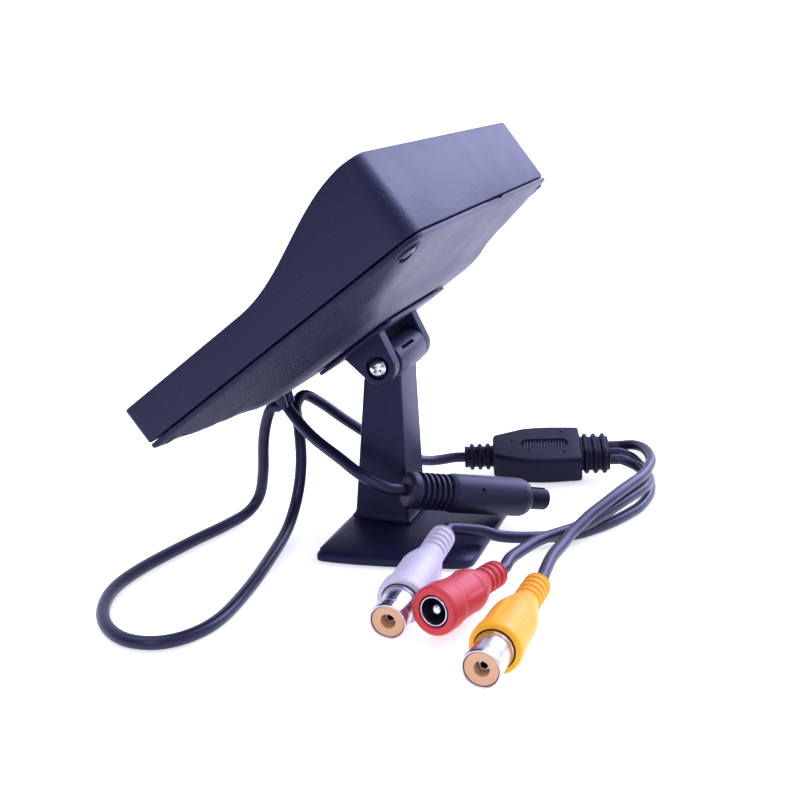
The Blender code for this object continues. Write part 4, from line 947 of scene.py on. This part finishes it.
def make_splitter():
    length = SPLITTER_LENGTH
    place = SPLIT @ Matrix.Diagonal((1.0, FULLER_WIDTH, FULLER_HEIGHT, 1.0))

    def ring(x, half_width, half_height, radius):
        return [(x, u, w) for u, w in rounded_box_outline(half_width, -half_height, half_height, radius, 1, 8)]

    def rib_rings(first, count, pitch, wide, narrow):
        rings = []
        for i in range(count):
            for k in range(10):
                wave = min(1.0, max(0.0, 0.5 + 0.9 * math.sin(math.tau * (k / 10 - 0.2))))
                size = [low + (high - low) * wave for low, high in zip(narrow, wide)]
                rings.append(ring(first + (i + k / 10) * pitch, *size))
        return rings

    rings = [ring(-8.4, 2.6, 2.6, 2.5), ring(-8.25, 2.9, 2.9, 2.8)]
    rings += rib_rings(-7.3, 3, 2.35, (3.5, 3.5, 3.4), (2.75, 2.75, 2.65))
    rings += [ring(-0.1, 3.0, 2.8, 2.6), ring(0.0, 4.4, 3.0, 1.3), ring(0.12, 4.9, 3.4, 1.2),
              ring(0.5, 5.35, 3.65, 1.2), ring(1.0, 5.6, 3.7, 1.2), ring(9.0, 8.3, 3.7, 1.2),
              ring(13.0, 8.65, 3.7, 1.2), ring(17.0, 8.7, 3.7, 1.2), ring(length - 1.0, 8.25, 3.7, 1.2),
              ring(length - 0.35, 8.1, 3.62, 1.2),
              ring(length - 0.05, 7.7, 3.3, 1.2), ring(length, 7.0, 3.0, 1.2), ring(length + 0.1, 5.9, 3.1, 2.9)]
    rings += rib_rings(length + 0.3, 3, 2.6, (6.5, 3.8, 3.6), (5.7, 3.0, 2.9))
    rings += [ring(length + 8.15, 5.7, 3.0, 2.9), ring(length + 8.2, 5.4, 2.7, 2.6)]
    mesh = loft("splitter_box_skin", rings, place)

    def oval(half_x, half_y, z, centre=15.0):
        outline = rounded_box_outline(half_x, -half_y, half_y, half_y * 0.98, 1, 10)
        return at_z([(centre + u, w) for u, w in outline], z)

    tools = [("DIFFERENCE", loft("grip", [oval(6.7, 1.9, 3.15), oval(7.2, 2.4, 4.2)], place))]
    for x, y in ((5.6, 1.6), (10.4, -3.1), (20.2, 5.4), (20.6, -4.4)):
        pin = [[(x + 0.42 * math.cos(math.tau * i / 16), y + 0.42 * math.sin(math.tau * i / 16), z)
                for i in range(16)] for z in (3.3, 5.0)]
        tools.append(("DIFFERENCE", loft("pin_mark", pin, place)))
    mesh = carve("splitter_box_skin", mesh, tools)
    box = add_piece("splitter_box_skin", mesh, "rubber_black", "stand", ["splitter_box"], 34.0)
    bm = bmesh.new()
    for i in range(15):
        x = 15.0 + (i - 7) * 0.82
        reach = 1.75 * math.sqrt(max(0.1, 1 - max(0.0, (abs(x - 15.0) - 4.8) / 2.0) ** 2))
        profile = [(-0.2, 3.05), (-0.17, 3.42), (0.0, 3.52), (0.17, 3.42), (0.2, 3.05)]
        ends = [[bm.verts.new((x + u, side * reach, w)) for u, w in profile] for side in (-1, 1)]
        for k in range(len(profile) - 1):
            bm.faces.new((ends[0][k], ends[0][k + 1], ends[1][k + 1], ends[1][k]))
        bm.faces.new(list(reversed(ends[0])))
        bm.faces.new(ends[1])
        bm.faces.new((ends[0][0], ends[1][0], ends[1][-1], ends[0][-1]))
    ribs = add_piece("splitter_grip_ribs", finish_mesh(bm, "splitter_grip_ribs", place), "plug_black", "stand",
                     (), 60.0)
    return [box, ribs]


SPLITTER_PIECES = make_splitter()

# ---------------------------------------------------------------- sockets


def panel(height, angle, centre, low, high, half_angle, depth, edge=0.5):
    """Depth of a recessed grip panel at a place on a turned boot."""
    turn = abs((angle - centre + math.pi) % math.tau - math.pi)
    along = smooth_step(height, low - edge, low + edge) * (1 - smooth_step(height, high - edge, high + edge))
    round_part = 1 - smooth_step(turn, half_angle - 0.09, half_angle + 0.09)
    return depth * along * round_part


def refined(profile, spacing=0.35):
    """The profile with long straight runs cut into short ones."""
    result = [profile[0]]
    for here, there in zip(profile, profile[1:]):
        run = math.hypot(there[0] - here[0], there[1] - here[1])
        count = max(1, round(run / spacing)) if here[0] > 2 and there[0] > 2 else 1
        for k in range(1, count + 1):
            share = k / count
            result.append((here[0] + (there[0] - here[0]) * share, here[1] + (there[1] - here[1]) * share))
    return result


PANEL_TURN = {"white": 1.35, "yellow": -0.35, "red": 0.5}
BARREL_RADIUS, RIM_WIDTH = 4.15, 0.6


def make_video_socket(colour):
    start, end = SOCKETS[colour]
    matrix = aligned(start, end)
    length = (Vector(end) - Vector(start)).length
    front = length - 9.0
    name = f"video_{colour}"
    outer, disc_radius = BARREL_RADIUS, BARREL_RADIUS - RIM_WIDTH
    tail = soft_profile([(0.0, 0.0), (2.3, 0.0), (2.9, 0.15), (3.1, 0.6)], 0.2) + rib_profile(0.9, 4, 2.3, 3.2, 2.55)
    middle = [(3.0, 10.3), (3.15, 11.2), (3.45, 12.6), (4.0, 14.8), (4.7, 17.5), (5.05, 19.2), (5.2, 20.6),
              (5.28, front - 4.4), (5.3, front - 4.0), (5.5, front - 3.5), (5.6, front - 3.2), (5.6, front - 0.7),
              (5.5, front - 0.2), (5.3, front), (outer + 0.3, front), (outer + 0.3, front - 8.3),
              (0.0, front - 8.3)]
    centre = PANEL_TURN[colour]

    def dent(radius, height, angle):
        if radius < 4.6 or height > front - 4.0:
            return 0.0
        return (panel(height, angle, centre, 18.6, front - 5.2, 0.62, 0.30)
                + panel(height, angle, centre + math.pi, 18.6, front - 5.2, 0.62, 0.30))

    mesh = turned(f"{name}_boot_skin", flipped(refined(tail + middle)), matrix, 112, dent)
    boot = add_piece(f"{name}_boot_skin", mesh, f"boot_{colour}", "stand", [f"{name}_boot"], 50.0)
    back = front - 8.0
    barrel = soft_profile([(0.0, back), (outer, back), (outer, front + 0.4), (outer - 0.17, front + 0.8),
                           (outer - 0.17, length - 3.0), (outer - 0.03, length - 2.4), (outer, length - 0.5),
                           (outer - 0.15, length), (outer - 0.35, length), (outer - 0.5, length - 0.3),
                           (outer - 0.5, back + 1.5), (0.0, back + 1.5)], 0.15, 4)
    mesh = turned(f"{name}_barrel_fine", flipped(barrel), matrix, 96)
    shell = add_piece(f"{name}_barrel_fine", mesh, "nickel", "stand", [f"{name}_barrel"], 40.0)
    tip, bed = length - 0.35, back + 1.8
    insulator = soft_profile([(0.0, bed), (disc_radius, bed), (disc_radius, tip), (outer - 1.0, tip + 0.02),
                              (2.3, tip - 0.05), (1.75, tip), (1.6, tip - 0.15), (1.6, bed + 3.0),
                              (0.0, bed + 3.0)], 0.12, 3)
    mesh = turned(f"{name}_insulator_fine", flipped(insulator), matrix, 64)
    disc = add_piece(f"{name}_insulator_fine", mesh, "insulator_tan", "stand", [f"{name}_insulator"], 40.0)
    return [boot, shell, disc, f"{name}_contact"]


def make_power_socket():
    start, end = SOCKETS["red"]
    matrix = aligned(start, end)
    length = (Vector(end) - Vector(start)).length
    tail = soft_profile([(0.0, 0.0), (2.3, 0.0), (2.9, 0.15), (3.1, 0.6)], 0.2) + rib_profile(0.9, 3, 2.3, 3.2, 2.55)
    middle = [(3.0, 7.9), (3.3, 9.0), (4.0, 10.7), (4.7, 12.8), (4.95, 14.2), (5.0, 15.2), (5.0, length - 6.2),
              (5.1, length - 5.6), (5.35, length - 4.8), (5.4, length - 4.4), (5.4, length - 0.9),
              (5.25, length - 0.3), (4.9, length), (3.75, length), (3.58, length - 0.15), (3.55, length - 0.4),
              (3.55, 14.0), (0.0, 14.0)]
    centre = PANEL_TURN["red"]

    def dent(radius, height, angle):
        if radius < 4.4 or height > length - 5.0:
            return 0.0
        pressed = 0.0
        for turn in (centre, centre - 1.25, centre + math.pi):
            pressed += panel(height, angle, turn, 14.6, length - 8.0, 0.42, 0.25, 0.35)
        return pressed

    mesh = turned("power_red_boot_skin", flipped(refined(tail + middle)), matrix, 112, dent)
    boot = add_piece("power_red_boot_skin", mesh, "boot_red", "stand", ["power_red_boot"], 50.0)
    sleeve = soft_profile([(0.0, 14.3), (3.25, 14.3), (3.25, length - 0.35), (3.1, length - 0.2),
                           (2.95, length - 0.2), (2.85, length - 0.4), (2.85, 15.5), (0.0, 15.5)], 0.1, 3)
    mesh = turned("power_red_sleeve_fine", flipped(sleeve), matrix, 72)
    metal_sleeve = add_piece("power_red_sleeve_fine", mesh, "nickel", "stand", ["power_red_sleeve"], 40.0)
    pin = soft_profile([(0.0, 18.8), (1.05, 18.8), (1.05, length - 1.9), (0.95, length - 1.5), (0.6, length - 1.3),
                        (0.0, length - 1.3)], 0.2, 4)
    mesh = turned("power_red_pin_fine", flipped(pin), matrix, 32)
    post = add_piece("power_red_pin_fine", mesh, "nickel", "stand", ["power_red_pin"], 40.0)
    return [boot, metal_sleeve, post, "power_red_insert"]


WHITE_PIECES = make_video_socket("white")
YELLOW_PIECES = make_video_socket("yellow")
RED_PIECES = make_power_socket()

# ---------------------------------------------------------------- CAD nodes that stay

CAD_LOOKS = {
    "screen_lens": "lens_clear", "lcd_panel": "lcd_glass", "backlight_unit": "backlight_metal",
    "main_board": "board_green", "display_chip": "rubber_black", "lead_header_left": "boot_white",
    "lead_header_right": "boot_white", "button_board": "board_green", "spring_washer": "steel",
    "pivot_nut": "steel", "base_screw": "steel", "adhesive_pad": "foam_grey", "power_red_insert": "rubber_black",
    "video_white_contact": "nickel", "video_yellow_contact": "nickel",
    "plug_contact_1": "brass", "plug_contact_2": "brass", "plug_contact_3": "brass", "plug_contact_4": "brass",
}
for node, look in CAD_LOOKS.items():
    for place in NODES[node].material_slots:
        place.material = LOOKS[look]

# ---------------------------------------------------------------- head leads taken off their body, with their placement baked in

for lead, low in ((HARNESS, (7.2, -29.2, 6.0)), (CAMERA_LEAD, (14.0, -4.0, 19.5))):
    lead.parent = None
    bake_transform(lead)
